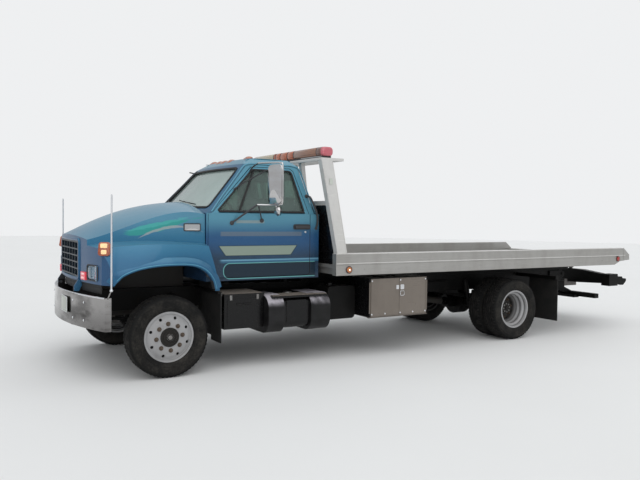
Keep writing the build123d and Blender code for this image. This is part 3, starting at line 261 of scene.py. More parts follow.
@dataclass(frozen=True)
class BodyPaint(Finish):
    """Metallic blue coachwork, one paint painted lighter high up and on upward faces as a sky reflection and
    darker low down and on the nose as shade, with swept brush strokes, a pinstriped panel and a painted sheen
    and highlight on the door moulding.
    """

    core: Colour = (-2.35, 0.0, 1.6)
    lining: Colour = (0.045, 0.047, 0.05)

    # deep, middle and pale are one paint drawn darker and lighter by height and slope as painted shade and
    # painted sky reflection; nose is painted shade on forward faces
    deep: Colour = (0.001, 0.012, 0.04)
    middle: Colour = (0.001, 0.055, 0.17)
    pale: Colour = (0.08, 0.255, 0.35)
    low_z: float = 1.14
    belt_low_z: float = 1.4
    belt_high_z: float = 1.66
    teal: Colour = (0.03, 0.3, 0.26)
    silver: Colour = (0.33, 0.36, 0.37)
    nose: Colour = (0.001, 0.04, 0.135)

    def nodes(self, graph: Graph) -> Signal:
        """Blend blues by height and slope as painted sky reflection and shade, darken forward faces as
        painted shade, then lay the livery, flake, orange peel and road film.
        """
        point = x, y, z = graph.axes()
        ahead, side, up = graph.facing()
        outward = ahead * (x - self.core[0]) + side * (y - self.core[1]) + up * (z - self.core[2])
        inner = graph.step(outward, 0.02, -0.02)
        cloud = graph.noise(1.3, 2.0)
        height = z + 0.1 * (cloud - 0.5)
        # Painted light: deep low down, pale high up and on upward faces as a sky reflection, darker on
        # forward faces as shade
        colour = graph.mix(graph.step(height, self.low_z, self.belt_low_z), self.deep, self.middle)
        colour = graph.mix(graph.step(height, self.belt_low_z, self.belt_high_z), colour, self.pale)
        colour = graph.mix(0.65 * graph.step(up, 0.25, 0.85), colour, self.pale)
        colour = graph.mix(0.85 * graph.step(ahead, -0.35, -0.8), colour, self.nose)
        flake = graph.node("ShaderNodeTexVoronoi", inputs={"Vector": graph.place(), "Scale": 900.0},
                           out="Color")
        colour = graph.mix(0.16 * graph.split(flake)[0], colour, (0.25, 0.42, 0.52))
        colour = self.brush_strokes(graph, colour, point)
        colour = self.door_stripes(graph, colour, point)
        film = graph.step(z + 0.05 * graph.noise(6.0, 4.0), 1.1, 0.92)
        film = film * (0.35 + 0.5 * graph.noise(22.0, 5.0, (1.0, 1.0, 0.25)))
        colour = graph.mix(0.14 * film, colour, (0.06, 0.055, 0.05))
        chip = graph.step(graph.noise(55.0, 2.0), 0.735, 0.76) * graph.step(z, 1.05, 0.95)
        colour = graph.mix(0.7 * chip, colour, (0.06, 0.05, 0.045))
        peel = graph.noise(260.0, 2.0)
        haze = graph.noise(9.0, 4.0)
        colour = graph.mix(inner, colour, self.lining)
        return graph.surface(
            Base_Color=colour,
            Metallic=(0.22 - 0.1 * film) * (1 - inner),
            Roughness=0.3 + 0.1 * haze + 0.2 * film + 0.3 * inner,
            Coat_Weight=(0.34 - 0.2 * film) * (1 - inner),
            Coat_Roughness=0.05,
            Specular_IOR_Level=0.2,
            Normal=graph.bump(peel + 0.6 * chip, 0.0001, 0.5),
        )

    def brush_strokes(self, graph: Graph, colour: Signal, point: Triple) -> Signal:
        """Lay a tapering teal stroke and a silver one under it along the hood's shoulders.

        Args:
            graph: The material's nodes.
            colour: The colour under the strokes.
            point: The X, Y and Z of the point on the surface.

        Returns:
            The colour with the strokes on it.
        """
        x, y, z = point
        along = x - FRONT_AXLE_X
        flank = graph.step(abs(y), 0.62, 0.7) * graph.step(x, -3.09, -3.13) * graph.step(along, -0.42, -0.32)
        torn = 0.05 * (graph.noise(9.0, 4.0, (1.0, 0.2, 4.0)) - 0.5)
        rise = 1.552 + 0.235 * along
        width = 0.043 * graph.step(along, -0.44, -0.24) * graph.step(along, 0.3, 0.02)
        teal = graph.step(abs(z - rise + torn) - width, 0.008, -0.004)
        colour = graph.mix(0.85 * flank * teal, colour, self.teal)
        sheen = graph.step(abs(z - rise - 0.028 + torn) - 0.35 * width, 0.006, -0.002)
        colour = graph.mix(0.5 * flank * sheen, colour, (0.08, 0.42, 0.4))
        low = 1.525 + 0.22 * along - 0.75 * along * along
        thin = 0.013 * graph.step(along, -0.26, -0.1) * graph.step(along, 0.3, 0.1)
        silver = graph.step(abs(z - low + 0.5 * torn) - thin, 0.005, -0.003) * graph.step(along, -0.27, -0.23)
        return graph.mix(0.75 * flank * silver, colour, self.silver)

    def door_stripes(self, graph: Graph, colour: Signal, point: Triple) -> Signal:
        """Lay the grey bands, the pale banner shape and the pinstriped lower panel on the doors, and paint a
        sheen and a highlight line on the moulding.

        Args:
            graph: The material's nodes.
            colour: The colour under the stripes.
            point: The X, Y and Z of the point on the surface.

        Returns:
            The colour with the stripes on it.
        """
        x, y, z = point
        along = x - FRONT_AXLE_X
        flank = graph.step(abs(y), 0.9, 0.93)
        band = graph.window(z, 1.443, 1.487, 0.004) * graph.window(along, 0.62, 1.6, 0.02)
        colour = graph.mix(0.62 * flank * band, colour, (0.15, 0.18, 0.205))
        upper = graph.window(z, 1.585, 1.612, 0.005) * graph.window(along, 0.8, 1.12, 0.02)
        colour = graph.mix(0.7 * flank * upper, colour, (0.27, 0.32, 0.31))
        banner = graph.window(z, 1.232, 1.33, 0.004) * graph.step(abs(along - 1.07) - 0.75 * z, -0.52, -0.528)
        edge = graph.window(z, 1.226, 1.336, 0.004) * graph.step(abs(along - 1.07) - 0.75 * z, -0.508, -0.516)
        colour = graph.mix(0.8 * flank * edge, colour, (0.01, 0.03, 0.035))
        colour = graph.mix(0.85 * flank * banner, colour, (0.28, 0.34, 0.28))
        past = graph.math("MAXIMUM", 0.72 - along, 0.0)
        off = graph.math("MAXIMUM", abs(z - 1.06) - 0.01, 0.0)
        away = (past * past + off * off) ** 0.5
        inside = graph.step(away, 0.075, 0.068) * graph.step(along, 1.8, 1.79)
        colour = graph.mix(0.75 * flank * inside, colour, (0.002, 0.012, 0.022))
        stripe = graph.line(away, 0.074, 0.0035, 0.003) * graph.step(along, 1.8, 1.78)
        colour = graph.mix(0.85 * flank * stripe, colour, (0.14, 0.42, 0.42))
        # Painted highlight: a paler band and a bright line along the door moulding
        moulding_sheen = graph.window(z, 1.152, 1.184, 0.008) * graph.step(along, 0.58, 0.64)
        colour = graph.mix(0.6 * flank * moulding_sheen, colour, (0.05, 0.19, 0.32))
        highlight_crest = graph.line(z, 1.176, 0.004, 0.006) * graph.step(along, 0.58, 0.64)
        return graph.mix(0.6 * flank * highlight_crest, colour, (0.2, 0.42, 0.56))


@dataclass(frozen=True)
class WornPaint(Finish):
    """Plain paint with dust that lies on top, grime in patches and chips down to primer, and painted shade
    deep in a wheel's barrel where asked.
    """

    colour: Colour = (0.02, 0.02, 0.021)
    dust: Colour = (0.11, 0.095, 0.078)
    chipped: Colour = (0.1, 0.045, 0.022)
    roughness: float = 0.45
    dust_and_sheen: float = 0.4
    chips: float = 0.5
    specular: float = 0.25
    side_dust: float = 0.3
    # Depths across the truck over which a wheel's barrel darkens as painted shade, with dark rings as painted
    # shade in its grooves
    shaded_depth: tuple[float, float] | None = None

    def nodes(self, graph: Graph) -> Signal:
        """Mix the paint with dust by slope and patches, chip it and roughen it to match."""
        _, _, up = graph.facing()
        patches = graph.noise(5.0, 5.0)
        fine = graph.noise(48.0, 4.0)
        # Dust, more on upward faces; laid thick, as on the tank covers, it is a painted highlight
        dust = self.dust_and_sheen * (self.side_dust + (1 - self.side_dust) * graph.step(up, 0.1, 0.9))
        dust = dust * graph.step(patches, 0.3, 0.75)
        grime = graph.step(graph.noise(2.6, 4.0, (1.0, 1.0, 0.4)), 0.45, 0.7)
        colour = graph.mix(0.5 * grime, self.colour, shade(self.colour, 0.55))
        colour = graph.mix(dust, colour, self.dust)
        chip = graph.step(graph.noise(34.0, 3.0), 0.7, 0.73) * self.chips
        colour = graph.mix(chip, colour, self.chipped)
        if self.shaded_depth:
            # Painted shade: dark rings in the barrel's grooves and darkening deep inside it
            depth = abs(graph.axes()[1])
            rings = graph.step(graph.math("SINE", depth * (2 * math.pi / 0.055)), 0.1, 0.7)
            colour = graph.mix(0.6 * rings, colour, (0.05, 0.048, 0.045))
            colour = graph.mix(0.93 * graph.step(depth, *self.shaded_depth), colour, (0.022, 0.02, 0.018))
        return graph.surface(
            Base_Color=colour,
            Metallic=0.0,
            Roughness=self.roughness + 0.35 * dust + 0.1 * (fine - 0.5),
            Specular_IOR_Level=self.specular,
            Normal=graph.bump(fine - 0.8 * chip, 0.0006, 0.5),
        )


@dataclass(frozen=True)
class BareMetal(Finish):
    """Brushed or cast metal with a grain along one axis, water marks, scratches and dirt."""

    colour: Colour = (0.42, 0.41, 0.39)
    dirt: Colour = (0.14, 0.12, 0.1)
    grain: Colour = (0.04, 1.0, 1.0)
    grain_scale: float = 130.0
    roughness: float = 0.42
    metallic: float = 0.75
    soiling: float = 0.35

    def nodes(self, graph: Graph) -> Signal:
        """Streak the metal along its grain, scratch it and darken it where dirt holds."""
        grain = graph.noise(self.grain_scale, 3.0, self.grain)
        marks = graph.noise(3.2, 5.0, (1.0, 1.0, 0.35))
        blotch = graph.noise(11.0, 4.0)
        scratch = graph.step(graph.noise(70.0, 2.0, (0.05, 1.0, 3.0)), 0.66, 0.7)
        soil = self.soiling * graph.step(marks, 0.38, 0.78)
        colour = graph.mix(0.35 * grain, self.colour, shade(self.colour, 0.72))
        colour = graph.mix(0.3 * graph.step(blotch, 0.45, 0.75), colour,
                           shade(self.colour, 0.8))
        colour = graph.mix(soil, colour, self.dirt)
        colour = graph.mix(0.35 * scratch, colour, shade(self.colour, 1.35))
        return graph.surface(
            Base_Color=colour,
            Metallic=self.metallic - 0.6 * soil,
            Roughness=self.roughness + 0.16 * (grain - 0.5) + 0.35 * soil - 0.06 * scratch,
            Normal=graph.bump(grain - 0.5 * scratch, 0.00025, 0.45),
        )


@dataclass(frozen=True)
class Chrome(Finish):
    """Bright plating with a soft waviness, water spots and pitting low down, and a painted reflection of the
    ground.
    """

    colour: Colour = (0.72, 0.72, 0.73)
    roughness: float = 0.07
    # ground is the colour of the painted ground reflection, haze the share of it
    ground: Colour = (0.34, 0.27, 0.22)
    haze: float = 0.35

    def nodes(self, graph: Graph) -> Signal:
        """Ripple the plate a little, spot it, and paint a reflection of the ground low down and in clouds,
        the low part partly road film.
        """
        _, _, z = graph.axes()
        wave = graph.noise(4.5, 2.0)
        spots = graph.step(graph.noise(90.0, 3.0), 0.66, 0.72)
        film = graph.step(z + 0.08 * graph.noise(7.0, 4.0), 0.86, 0.6)
        pits = graph.step(graph.noise(240.0, 2.0), 0.7, 0.74) * film
        cloud = graph.step(graph.noise(2.4, 4.0, (1.0, 1.0, 2.6)), 0.4, 0.62)
        # Painted reflection of the ground, darker low down and in stretched clouds; low down it is partly
        # road film
        colour = graph.mix(self.haze * (0.45 * film + 0.55 * cloud), self.colour, self.ground)
        colour = graph.mix(0.3 * spots + 0.45 * pits, colour, (0.2, 0.16, 0.12))
        return graph.surface(
            Base_Color=colour,
            Metallic=1.0,
            Roughness=self.roughness + 0.18 * spots + 0.14 * film + 0.3 * pits,
            Normal=graph.bump(wave + 0.002 * pits, 0.004, 0.35),
        )


@dataclass(frozen=True)
class TyreRubber(Finish):
    """Tyre rubber, greyed by dust on its sidewalls and darker in its grooves."""

    axle_x: float = FRONT_AXLE_X

    def nodes(self, graph: Graph) -> Signal:
        """Colour by the distance from the axle, with fine moulded rings and dusty patches."""
        x, _, z = graph.axes()
        radius = ((x - self.axle_x) ** 2.0 + (z - AXLE_Z) ** 2.0) ** 0.5
        wall = graph.step(radius, 0.4, 0.38)
        dust = graph.noise(7.0, 5.0) * 0.6 + graph.noise(60.0, 3.0) * 0.4
        colour = graph.mix(wall * graph.step(dust, 0.35, 0.75), (0.006, 0.006, 0.006),
                           (0.034, 0.031, 0.027))
        scuff = graph.step(radius, 0.41, 0.419) * graph.step(graph.noise(14.0, 4.0), 0.35, 0.7)
        colour = graph.mix(0.6 * scuff, colour, (0.036, 0.033, 0.03))
        rings = graph.math("SINE", radius * 900.0) * graph.window(radius, 0.345, 0.362, 0.002)
        return graph.surface(
            Base_Color=colour,
            Roughness=0.72 + 0.2 * dust,
            Specular_IOR_Level=0.2,
            Normal=graph.bump(0.5 * rings + graph.noise(180.0, 3.0), 0.0007, 0.6),
        )


@dataclass(frozen=True)
class Moulded(Finish):
    """Black rubber or moulded plastic with a fine grain and a bloom of dust."""

    colour: Colour = (0.018, 0.018, 0.019)
    roughness: float = 0.55
    grain_scale: float = 420.0
    bloom: float = 0.35

    def nodes(self, graph: Graph) -> Signal:
        """Grain the surface and lay a patchy bloom on it."""
        _, _, up = graph.facing()
        grain = graph.noise(self.grain_scale, 3.0)
        patch = graph.noise(7.0, 5.0)
        bloom = self.bloom * graph.step(patch, 0.35, 0.8) * (0.5 + 0.5 * graph.step(up, 0.0, 0.9))
        colour = graph.mix(bloom, self.colour, (0.06, 0.055, 0.048))
        return graph.surface(
            Base_Color=colour,
            Specular_IOR_Level=0.3,
            Roughness=self.roughness + 0.25 * bloom + 0.12 * (patch - 0.5),
            Normal=graph.bump(grain, 0.00035, 0.6),
        )


@dataclass(frozen=True)
class WindowGlass(Finish):
    """Pale green glass with dust wiped in arcs and a thin film towards its lower edge."""

    tint: Colour = (0.55, 0.68, 0.63)
    body: Colour = (0.4, 0.48, 0.46)
    solid: float = 0.66
    fade_low: float = 1.72
    fade_high: float = 2.2
    thin: float = 0.4

    def nodes(self, graph: Graph) -> Signal:
        """Mix a clear pane with a reflecting one, more solid where film lies."""
        x, _, z = graph.axes()
        film = graph.noise(4.0, 5.0, (1.0, 1.0, 0.5))
        low = graph.step(z, self.fade_high, self.fade_low)
        streak = graph.step(graph.noise(24.0, 3.0, (1.0, 1.0, 0.08)), 0.5, 0.8)
        colour = graph.mix(0.5 * film, self.body, shade(self.body, 1.4))
        pane = graph.surface(
            Base_Color=colour,
            Roughness=0.04 + 0.16 * film * low + 0.05 * streak,
            Metallic=0.0,
            Coat_Weight=0.5,
            Coat_Roughness=0.02,
            Normal=graph.bump(film, 0.0006, 0.25),
        )
        clear = graph.node("ShaderNodeBsdfTransparent", inputs={"Color": self.tint})
        share = self.solid + 0.14 * film * low + 0.05 * streak - self.thin * graph.step(x, -2.2, -2.0)
        return graph.node("ShaderNodeMixShader", inputs={0: share, 1: clear, 2: pane})


@dataclass(frozen=True)
class Lens(Finish):
    """Coloured or clear lamp lens, fluted, with a lit core where a bulb stands behind it."""

    colour: Colour = (0.8, 0.3, 0.04)
    deep: Colour = (0.28, 0.05, 0.01)
    pitch: float = 260.0
    glow: float = 0.0
    solid: float = 0.93
    roughness: float = 0.12

    def nodes(self, graph: Graph) -> Signal:
        """Flute the lens across its width and vary its depth of colour."""
        x, y, z = graph.axes()
        flutes = graph.math("SINE", (x + y) * self.pitch * math.pi)
        bars = graph.math("SINE", z * self.pitch * 1.3 * math.pi)
        cell = 0.5 + 0.25 * flutes + 0.25 * bars
        colour = graph.mix(cell, self.deep, self.colour)
        dirt = graph.step(graph.noise(30.0, 4.0), 0.45, 0.8)
        colour = graph.mix(0.25 * dirt, colour, (0.2, 0.17, 0.14))
        return graph.surface(
            Base_Color=colour,
            Roughness=self.roughness + 0.18 * dirt,
            Coat_Weight=0.8,
            Coat_Roughness=0.03,
            Alpha=self.solid,
            Emission_Color=colour,
            Emission_Strength=self.glow,
            Normal=graph.bump(flutes + bars, 0.0004, 0.7),
        )


@dataclass(frozen=True)
class Vinyl(Finish):
    """Seat vinyl with a leather-like grain, creases and shine where it is sat on."""

    colour: Colour = (0.045, 0.047, 0.052)
    worn: Colour = (0.11, 0.108, 0.104)

    def nodes(self, graph: Graph) -> Signal:
        """Cell the surface finely, crease it with painted shade in the creases, and rub its high places."""
        cells = graph.node("ShaderNodeTexVoronoi", {"feature": "DISTANCE_TO_EDGE"},
                           {"Vector": graph.place(), "Scale": 330.0}, out="Distance")
        crease = graph.step(graph.noise(13.0, 4.0, (1.0, 0.5, 1.0)), 0.55, 0.75)
        rub = graph.step(graph.noise(3.5, 3.0), 0.42, 0.7)
        colour = graph.mix(0.55 * rub, self.colour, self.worn)
        # Darker in the creases: painted shade
        colour = graph.mix(0.35 * crease, colour, shade(self.colour, 0.6))
        return graph.surface(
            Base_Color=colour,
            Roughness=0.52 - 0.14 * rub + 0.1 * crease,
            Coat_Weight=0.12,
            Coat_Roughness=0.3,
            Normal=graph.bump(graph.step(cells, 0.0, 0.12) - 0.7 * crease, 0.0006, 0.7),
        )


@dataclass(frozen=True)
class WireRope(Finish):
    """Wound steel rope: strands that lean across each turn, greased and dusty."""

    def nodes(self, graph: Graph) -> Signal:
        """Stripe the rope along its lay, lighter on the strands and darker between them as painted highlight
        and shade, and dull it with grease.
        """
        x, y, z = graph.axes()
        lay = graph.math("SINE", (y * 1.6 + x + z) * 1500.0)
        grease = graph.step(graph.noise(26.0, 4.0), 0.4, 0.7)
        # Lighter on the strands' crowns, darker between them: painted highlight and shade
        colour = graph.mix(0.5 + 0.5 * lay, (0.05, 0.045, 0.04), (0.26, 0.25, 0.23))
        colour = graph.mix(0.6 * grease, colour, (0.035, 0.028, 0.02))
        return graph.surface(
            Base_Color=colour,
            Metallic=0.7 - 0.5 * grease,
            Roughness=0.42 + 0.2 * grease,
            Normal=graph.bump(lay, 0.0015, 0.8),
        )


@dataclass(frozen=True)
class DiamondPlate(Finish):
    """Tread plate: raised bars that lean left and right by turns."""

    colour: Colour = (0.02, 0.02, 0.021)
    metallic: float = 0.3

    def nodes(self, graph: Graph) -> Signal:
        """Raise short bars in a chequer, worn bright on top."""
        x, y, _ = graph.axes()
        first = graph.math("SINE", (x + y) * 110.0)
        second = graph.math("SINE", (x - y) * 110.0)
        bars = graph.step(graph.math("MAXIMUM", first * (1 - second * second),
                                     second * (1 - first * first)), 0.45, 0.75)
        grime = graph.noise(8.0, 5.0)
        colour = graph.mix(0.5 * grime, self.colour, (0.075, 0.066, 0.055))
        colour = graph.mix(0.45 * bars, colour, (0.16, 0.155, 0.15))
        return graph.surface(
            Base_Color=colour,
            Metallic=self.metallic + 0.4 * bars,
            Roughness=0.55 - 0.15 * bars + 0.2 * grime,
            Normal=graph.bump(bars, 0.0018, 0.8),
        )


class Palette:
    """The finishes used on this truck, by plain names."""

    hood_paint = BodyPaint("metallic_blue_hood", core=(-3.55, 0.0, 1.2), deep=(0.004, 0.09, 0.2),
                           middle=(0.008, 0.128, 0.245), pale=(0.075, 0.235, 0.345))
    cab_paint = BodyPaint("metallic_blue_cab")
    # Paler blue for the painted highlight along the arch flares' crests
    lip_highlight_paint = BodyPaint("metallic_blue_lip_highlight", core=(-3.55, 0.0, 1.2), deep=(0.06, 0.26, 0.4),
                          middle=(0.08, 0.3, 0.44), pale=(0.16, 0.42, 0.54), nose=(0.05, 0.2, 0.34))
    grille_paint = WornPaint("grey_blue_grille", colour=(0.012, 0.022, 0.032), dust=(0.05, 0.06, 0.065),
                             roughness=0.35, dust_and_sheen=0.5, chips=0.1)
    chassis = WornPaint("black_chassis_paint", colour=(0.0045, 0.0045, 0.0045), dust=(0.024, 0.02, 0.017),
                        chipped=(0.03, 0.016, 0.01), specular=0.15)
    box_black = WornPaint("black_box_paint", colour=(0.0035, 0.0035, 0.004), dust=(0.022, 0.019, 0.016),
                          chipped=(0.03, 0.02, 0.014), roughness=0.25, dust_and_sheen=0.35, specular=0.3)
    # The pale lilac dust, laid thick on upward faces only, is a painted sky highlight on the covers'
    # shoulders
    tank_cover = WornPaint("tank_cover_paint_and_sheen", colour=(0.006, 0.006, 0.006), dust=(0.36, 0.34, 0.37),
                           chipped=(0.05, 0.045, 0.04), roughness=0.3, dust_and_sheen=2.8, side_dust=0.01)
    engine = WornPaint("cast_grey_engine", colour=(0.055, 0.053, 0.05), dust=(0.07, 0.055, 0.04),
                       roughness=0.6, dust_and_sheen=0.7)
    wheel = WornPaint("silver_wheel_paint", colour=(0.34, 0.34, 0.345), dust=(0.14, 0.12, 0.1),
                      chipped=(0.16, 0.07, 0.035), roughness=0.34, dust_and_sheen=0.55, chips=0.4)
    # Rear wheel paint, darker deep in the barrel as painted shade
    dual = WornPaint("wheel_paint_with_painted_shade", colour=(0.36, 0.36, 0.365), dust=(0.16, 0.14, 0.12),
                     chipped=(0.16, 0.07, 0.035), roughness=0.34, chips=0.4, shaded_depth=(1.03, 0.95))
    hub = WornPaint("oily_black_hub", colour=(0.012, 0.011, 0.01), dust=(0.055, 0.042, 0.03),
                    roughness=0.3, dust_and_sheen=0.5)
    nut = WornPaint("rusty_nut", colour=(0.085, 0.062, 0.046), dust=(0.15, 0.125, 0.1),
                    chipped=(0.04, 0.02, 0.012), roughness=0.7, dust_and_sheen=0.5)
    aluminium = BareMetal("weathered_aluminium")
    rail = BareMetal("aluminium_rail", colour=(0.44, 0.43, 0.41), roughness=0.4, soiling=0.3)
    plate_metal = BareMetal("aluminium_toolbox", colour=(0.225, 0.195, 0.168), dirt=(0.08, 0.065, 0.05),
                            roughness=0.3, metallic=0.6, grain=(1.0, 1.0, 0.04), soiling=0.35)
    post_metal = BareMetal("bare_post_metal", colour=(0.66, 0.65, 0.63), dirt=(0.3, 0.28, 0.25),
                           roughness=0.42, metallic=0.3, grain=(1.0, 1.0, 0.04), soiling=0.3)
    bright = BareMetal("polished_aluminium", colour=(0.58, 0.58, 0.59), roughness=0.2, metallic=0.95,
                       soiling=0.12)
    steel = BareMetal("worn_steel", colour=(0.27, 0.265, 0.26), dirt=(0.09, 0.06, 0.04), roughness=0.38,
                      metallic=0.9, soiling=0.5)
    rod = BareMetal("hard_chrome_rod", colour=(0.6, 0.6, 0.61), roughness=0.12, metallic=1.0,
                    grain=(1.0, 0.05, 0.05), grain_scale=300.0, soiling=0.1)
    iron = WornPaint("cast_iron", colour=(0.06, 0.052, 0.045), dust=(0.1, 0.075, 0.05),
                     chipped=(0.12, 0.055, 0.028), roughness=0.65, dust_and_sheen=0.6, chips=0.7)
    chrome = Chrome("bright_chrome", colour=(0.6, 0.6, 0.605))
    # Chrome under a strong painted reflection of dark ground
    bumper_chrome = Chrome("bumper_chrome", colour=(0.36, 0.35, 0.345), ground=(0.02, 0.016, 0.015), haze=1.0)
    front_rubber = TyreRubber("front_tyre_rubber", axle_x=FRONT_AXLE_X)
    rear_rubber = TyreRubber("rear_tyre_rubber", axle_x=REAR_AXLE_X)
    seal = Moulded("black_seal_rubber", roughness=0.6)
    flap = Moulded("flap_rubber", colour=(0.01, 0.01, 0.01), roughness=0.7, grain_scale=160.0,
                   bloom=0.5)
    plastic = Moulded("black_plastic", colour=(0.022, 0.022, 0.024), roughness=0.45)
    trim = Moulded("grey_trim", colour=(0.07, 0.072, 0.076), roughness=0.6, bloom=0.2)
    glass = WindowGlass("cab_window_glass")
    door_glass = WindowGlass("door_window_glass", body=(0.18, 0.23, 0.215), solid=0.36, fade_low=1.7,
                             fade_high=1.95, thin=0.0)
    mirror = Chrome("mirror_face", colour=(0.8, 0.81, 0.82), roughness=0.015)
    amber = Lens("amber_lens")
    amber_housing = Lens("orange_housing", colour=(0.46, 0.1, 0.015), deep=(0.24, 0.03, 0.008), pitch=120.0)
    roof_lens = Lens("roof_lens", colour=(0.52, 0.19, 0.09), deep=(0.3, 0.08, 0.04), pitch=120.0)
    brown_collar = Lens("dark_amber_collar", colour=(0.1, 0.022, 0.01), deep=(0.035, 0.01, 0.006), pitch=90.0)
    headlamp_core = Lens("headlamp_bowl", colour=(0.16, 0.26, 0.34), deep=(0.02, 0.05, 0.08), pitch=90.0,
                         roughness=0.06)
    dark_dome = Lens("dark_dome", colour=(0.22, 0.09, 0.06), deep=(0.12, 0.05, 0.035), pitch=70.0,
                     roughness=0.3)
    red = Lens("red_lens", colour=(0.55, 0.02, 0.015), deep=(0.2, 0.004, 0.004))
    red_lit = Lens("lit_red_lens", colour=(0.8, 0.035, 0.075), deep=(0.45, 0.01, 0.02), glow=0.35)
    pink = Lens("pink_end_lens", colour=(0.75, 0.2, 0.24), deep=(0.45, 0.06, 0.09), pitch=160.0)
    warm_bulb = Lens("lit_warm_lens", colour=(1.0, 0.72, 0.38), deep=(0.9, 0.5, 0.2), glow=0.35)
    pink_bulb = Lens("lit_pink_lens", colour=(1.0, 0.66, 0.66), deep=(0.9, 0.4, 0.42), glow=0.3)
    bulb = Lens("lit_white_lens", colour=(1.0, 0.92, 0.85), deep=(0.85, 0.72, 0.66), glow=0.9)
    clear = Lens("headlamp_lens", colour=(0.12, 0.26, 0.38), deep=(0.03, 0.09, 0.16), pitch=180.0,
                 solid=0.85, roughness=0.05)
    cream = Lens("cream_dome", colour=(0.62, 0.55, 0.42), deep=(0.4, 0.34, 0.24), pitch=70.0,
                 roughness=0.28)
    orange = Lens("orange_dome", colour=(0.62, 0.17, 0.07), deep=(0.38, 0.085, 0.03), pitch=70.0,
                  roughness=0.25)
    brown = Lens("brown_dome", colour=(0.36, 0.17, 0.1), deep=(0.22, 0.1, 0.06), pitch=70.0,
                 roughness=0.3)
    vinyl = Vinyl("seat_vinyl")
    rope = WireRope("wire_rope")
    tread_plate = DiamondPlate("tread_plate")
    blank_plate = WornPaint("blank_pale_plate", colour=(0.52, 0.55, 0.5), dust=(0.25, 0.22, 0.18),
                            chipped=(0.3, 0.3, 0.29), roughness=0.4, dust_and_sheen=0.35, chips=0.2)
    mat = Moulded("floor_mat", colour=(0.03, 0.029, 0.028), roughness=0.8, grain_scale=120.0)


# Surfaces


@dataclass
class Shape:
    """Points and faces worked out as whole arrays, before they become a mesh."""

    points: np.ndarray
    quads: np.ndarray
    caps: list[list[int]] = field(default_factory=list)

    def moved(self, matrix: np.ndarray | Matrix) -> "Shape":
        """Return the shape carried by a 4x4 matrix."""
        matrix = np.array(matrix, float)
        return Shape(self.points @ matrix[:3, :3].T + matrix[:3, 3], self.quads, self.caps)

    def shifted(self, x: float = 0.0, y: float = 0.0, z: float = 0.0) -> "Shape":
        """Return the shape moved along the axes."""
        return Shape(self.points + np.array((x, y, z)), self.quads, self.caps)

    def mirrored(self) -> "Shape":
        """Return the shape on the other side of the truck, its faces turned back outwards."""
        flipped = self.points * np.array((1.0, -1.0, 1.0))
        return Shape(flipped, self.quads[:, ::-1], [cap[::-1] for cap in self.caps])

    def both(self) -> "Shape":
        """Return the shape with its mirror image."""
        return together([self, self.mirrored()])


def together(shapes: list[Shape]) -> Shape:
    """Return several shapes as one, their face numbers carried on."""
    starts = np.cumsum([0] + [len(shape.points) for shape in shapes])
    quads = [shape.quads + start for shape, start in zip(shapes, starts)]
    caps = [[int(start) + corner for corner in cap]
            for shape, start in zip(shapes, starts) for cap in shape.caps]
    return Shape(np.concatenate([shape.points for shape in shapes]), np.concatenate(quads), caps)


def lofted(rings: np.ndarray, closed: bool = False, capped: bool = True, around: bool = True) -> Shape:
    """Join rings of points: face (i, j) has corners (i, j), (i, j+1), (i+1, j+1), (i+1, j).

    Args:
        rings: Array of m rings, each of n points.
        closed: Whether the last ring joins the first.
        capped: Whether the first and the last ring are filled.
        around: Whether each ring's last point joins its first.

    Returns:
        The joined shape.
    """
    rows, columns = rings.shape[:2]
    row = np.arange(rows if closed else rows - 1)
    column = np.arange(columns if around else columns - 1)
    i, j = (grid.ravel() for grid in np.meshgrid(row, column, indexing="ij"))
    over, along = (i + 1) % rows, (j + 1) % columns
    quads = np.stack((i * columns + j, i * columns + along, over * columns + along, over * columns + j),
                     axis=1)
    caps = []
    if capped and not closed:
        caps = [list(range(columns))[::-1], list(range((rows - 1) * columns, rows * columns))]
    return Shape(rings.reshape(-1, 3), quads, caps)


def frames_along(path: np.ndarray, up: tuple, closed: bool) -> tuple[np.ndarray, np.ndarray]:
    """Return side and normal vectors at each point: side = tangent x up, normal = side x tangent."""
    if closed:
        tangent = np.roll(path, -1, axis=0) - np.roll(path, 1, axis=0)
    else:
        tangent = np.gradient(path, axis=0)
    tangent /= np.linalg.norm(tangent, axis=1, keepdims=True)
    side = np.cross(tangent, np.array(up, float))
    side /= np.maximum(np.linalg.norm(side, axis=1, keepdims=True), SMALLEST)
    return side, np.cross(side, tangent)


def swept(path: list | np.ndarray, section: tuple, up: tuple = UP, closed: bool = False) -> Shape:
    """Carry a rounded rectangle along a path: point = path + side * u + normal * v for each (u, v).

    Args:
        path: Points along the middle.
        section: The rectangle's width, height and corner radius, and the steps of a corner.
        up: Direction that the normal leans to.
        closed: Whether the path is a loop.

    Returns:
        The swept shape.
    """
    path, profile = np.array(path, float), rounded(*section)
    side, normal = frames_along(path, up, closed)
    rings = (path[:, None] + side[:, None] * profile[None, :, 0, None]
             + normal[:, None] * profile[None, :, 1, None])
    return lofted(rings, closed=closed)


def circle(radius: float, sides: int = 12) -> np.ndarray:
    """Return points round a circle: (r cos a, r sin a)."""
    angle = np.linspace(0, 2 * math.pi, sides, endpoint=False)
    return radius * np.stack((np.cos(angle), np.sin(angle)), axis=1)


def rounded(width: float, height: float, radius: float, steps: int = 3) -> np.ndarray:
    """Return a rectangle with rounded corners: each corner's centre plus a quarter circle."""
    radius = min(radius, width / 2 - 1e-6, height / 2 - 1e-6)
    angle = np.linspace(0, math.pi / 2, steps + 1)
    corners = []
    for number, (sx, sy) in enumerate(((1, 1), (-1, 1), (-1, -1), (1, -1))):
        turned = angle + number * math.pi / 2
        centre = np.array((sx * (width / 2 - radius), sy * (height / 2 - radius)))
        corners.append(centre + radius * np.stack((np.cos(turned), np.sin(turned)), axis=1))
    return np.concatenate(corners)


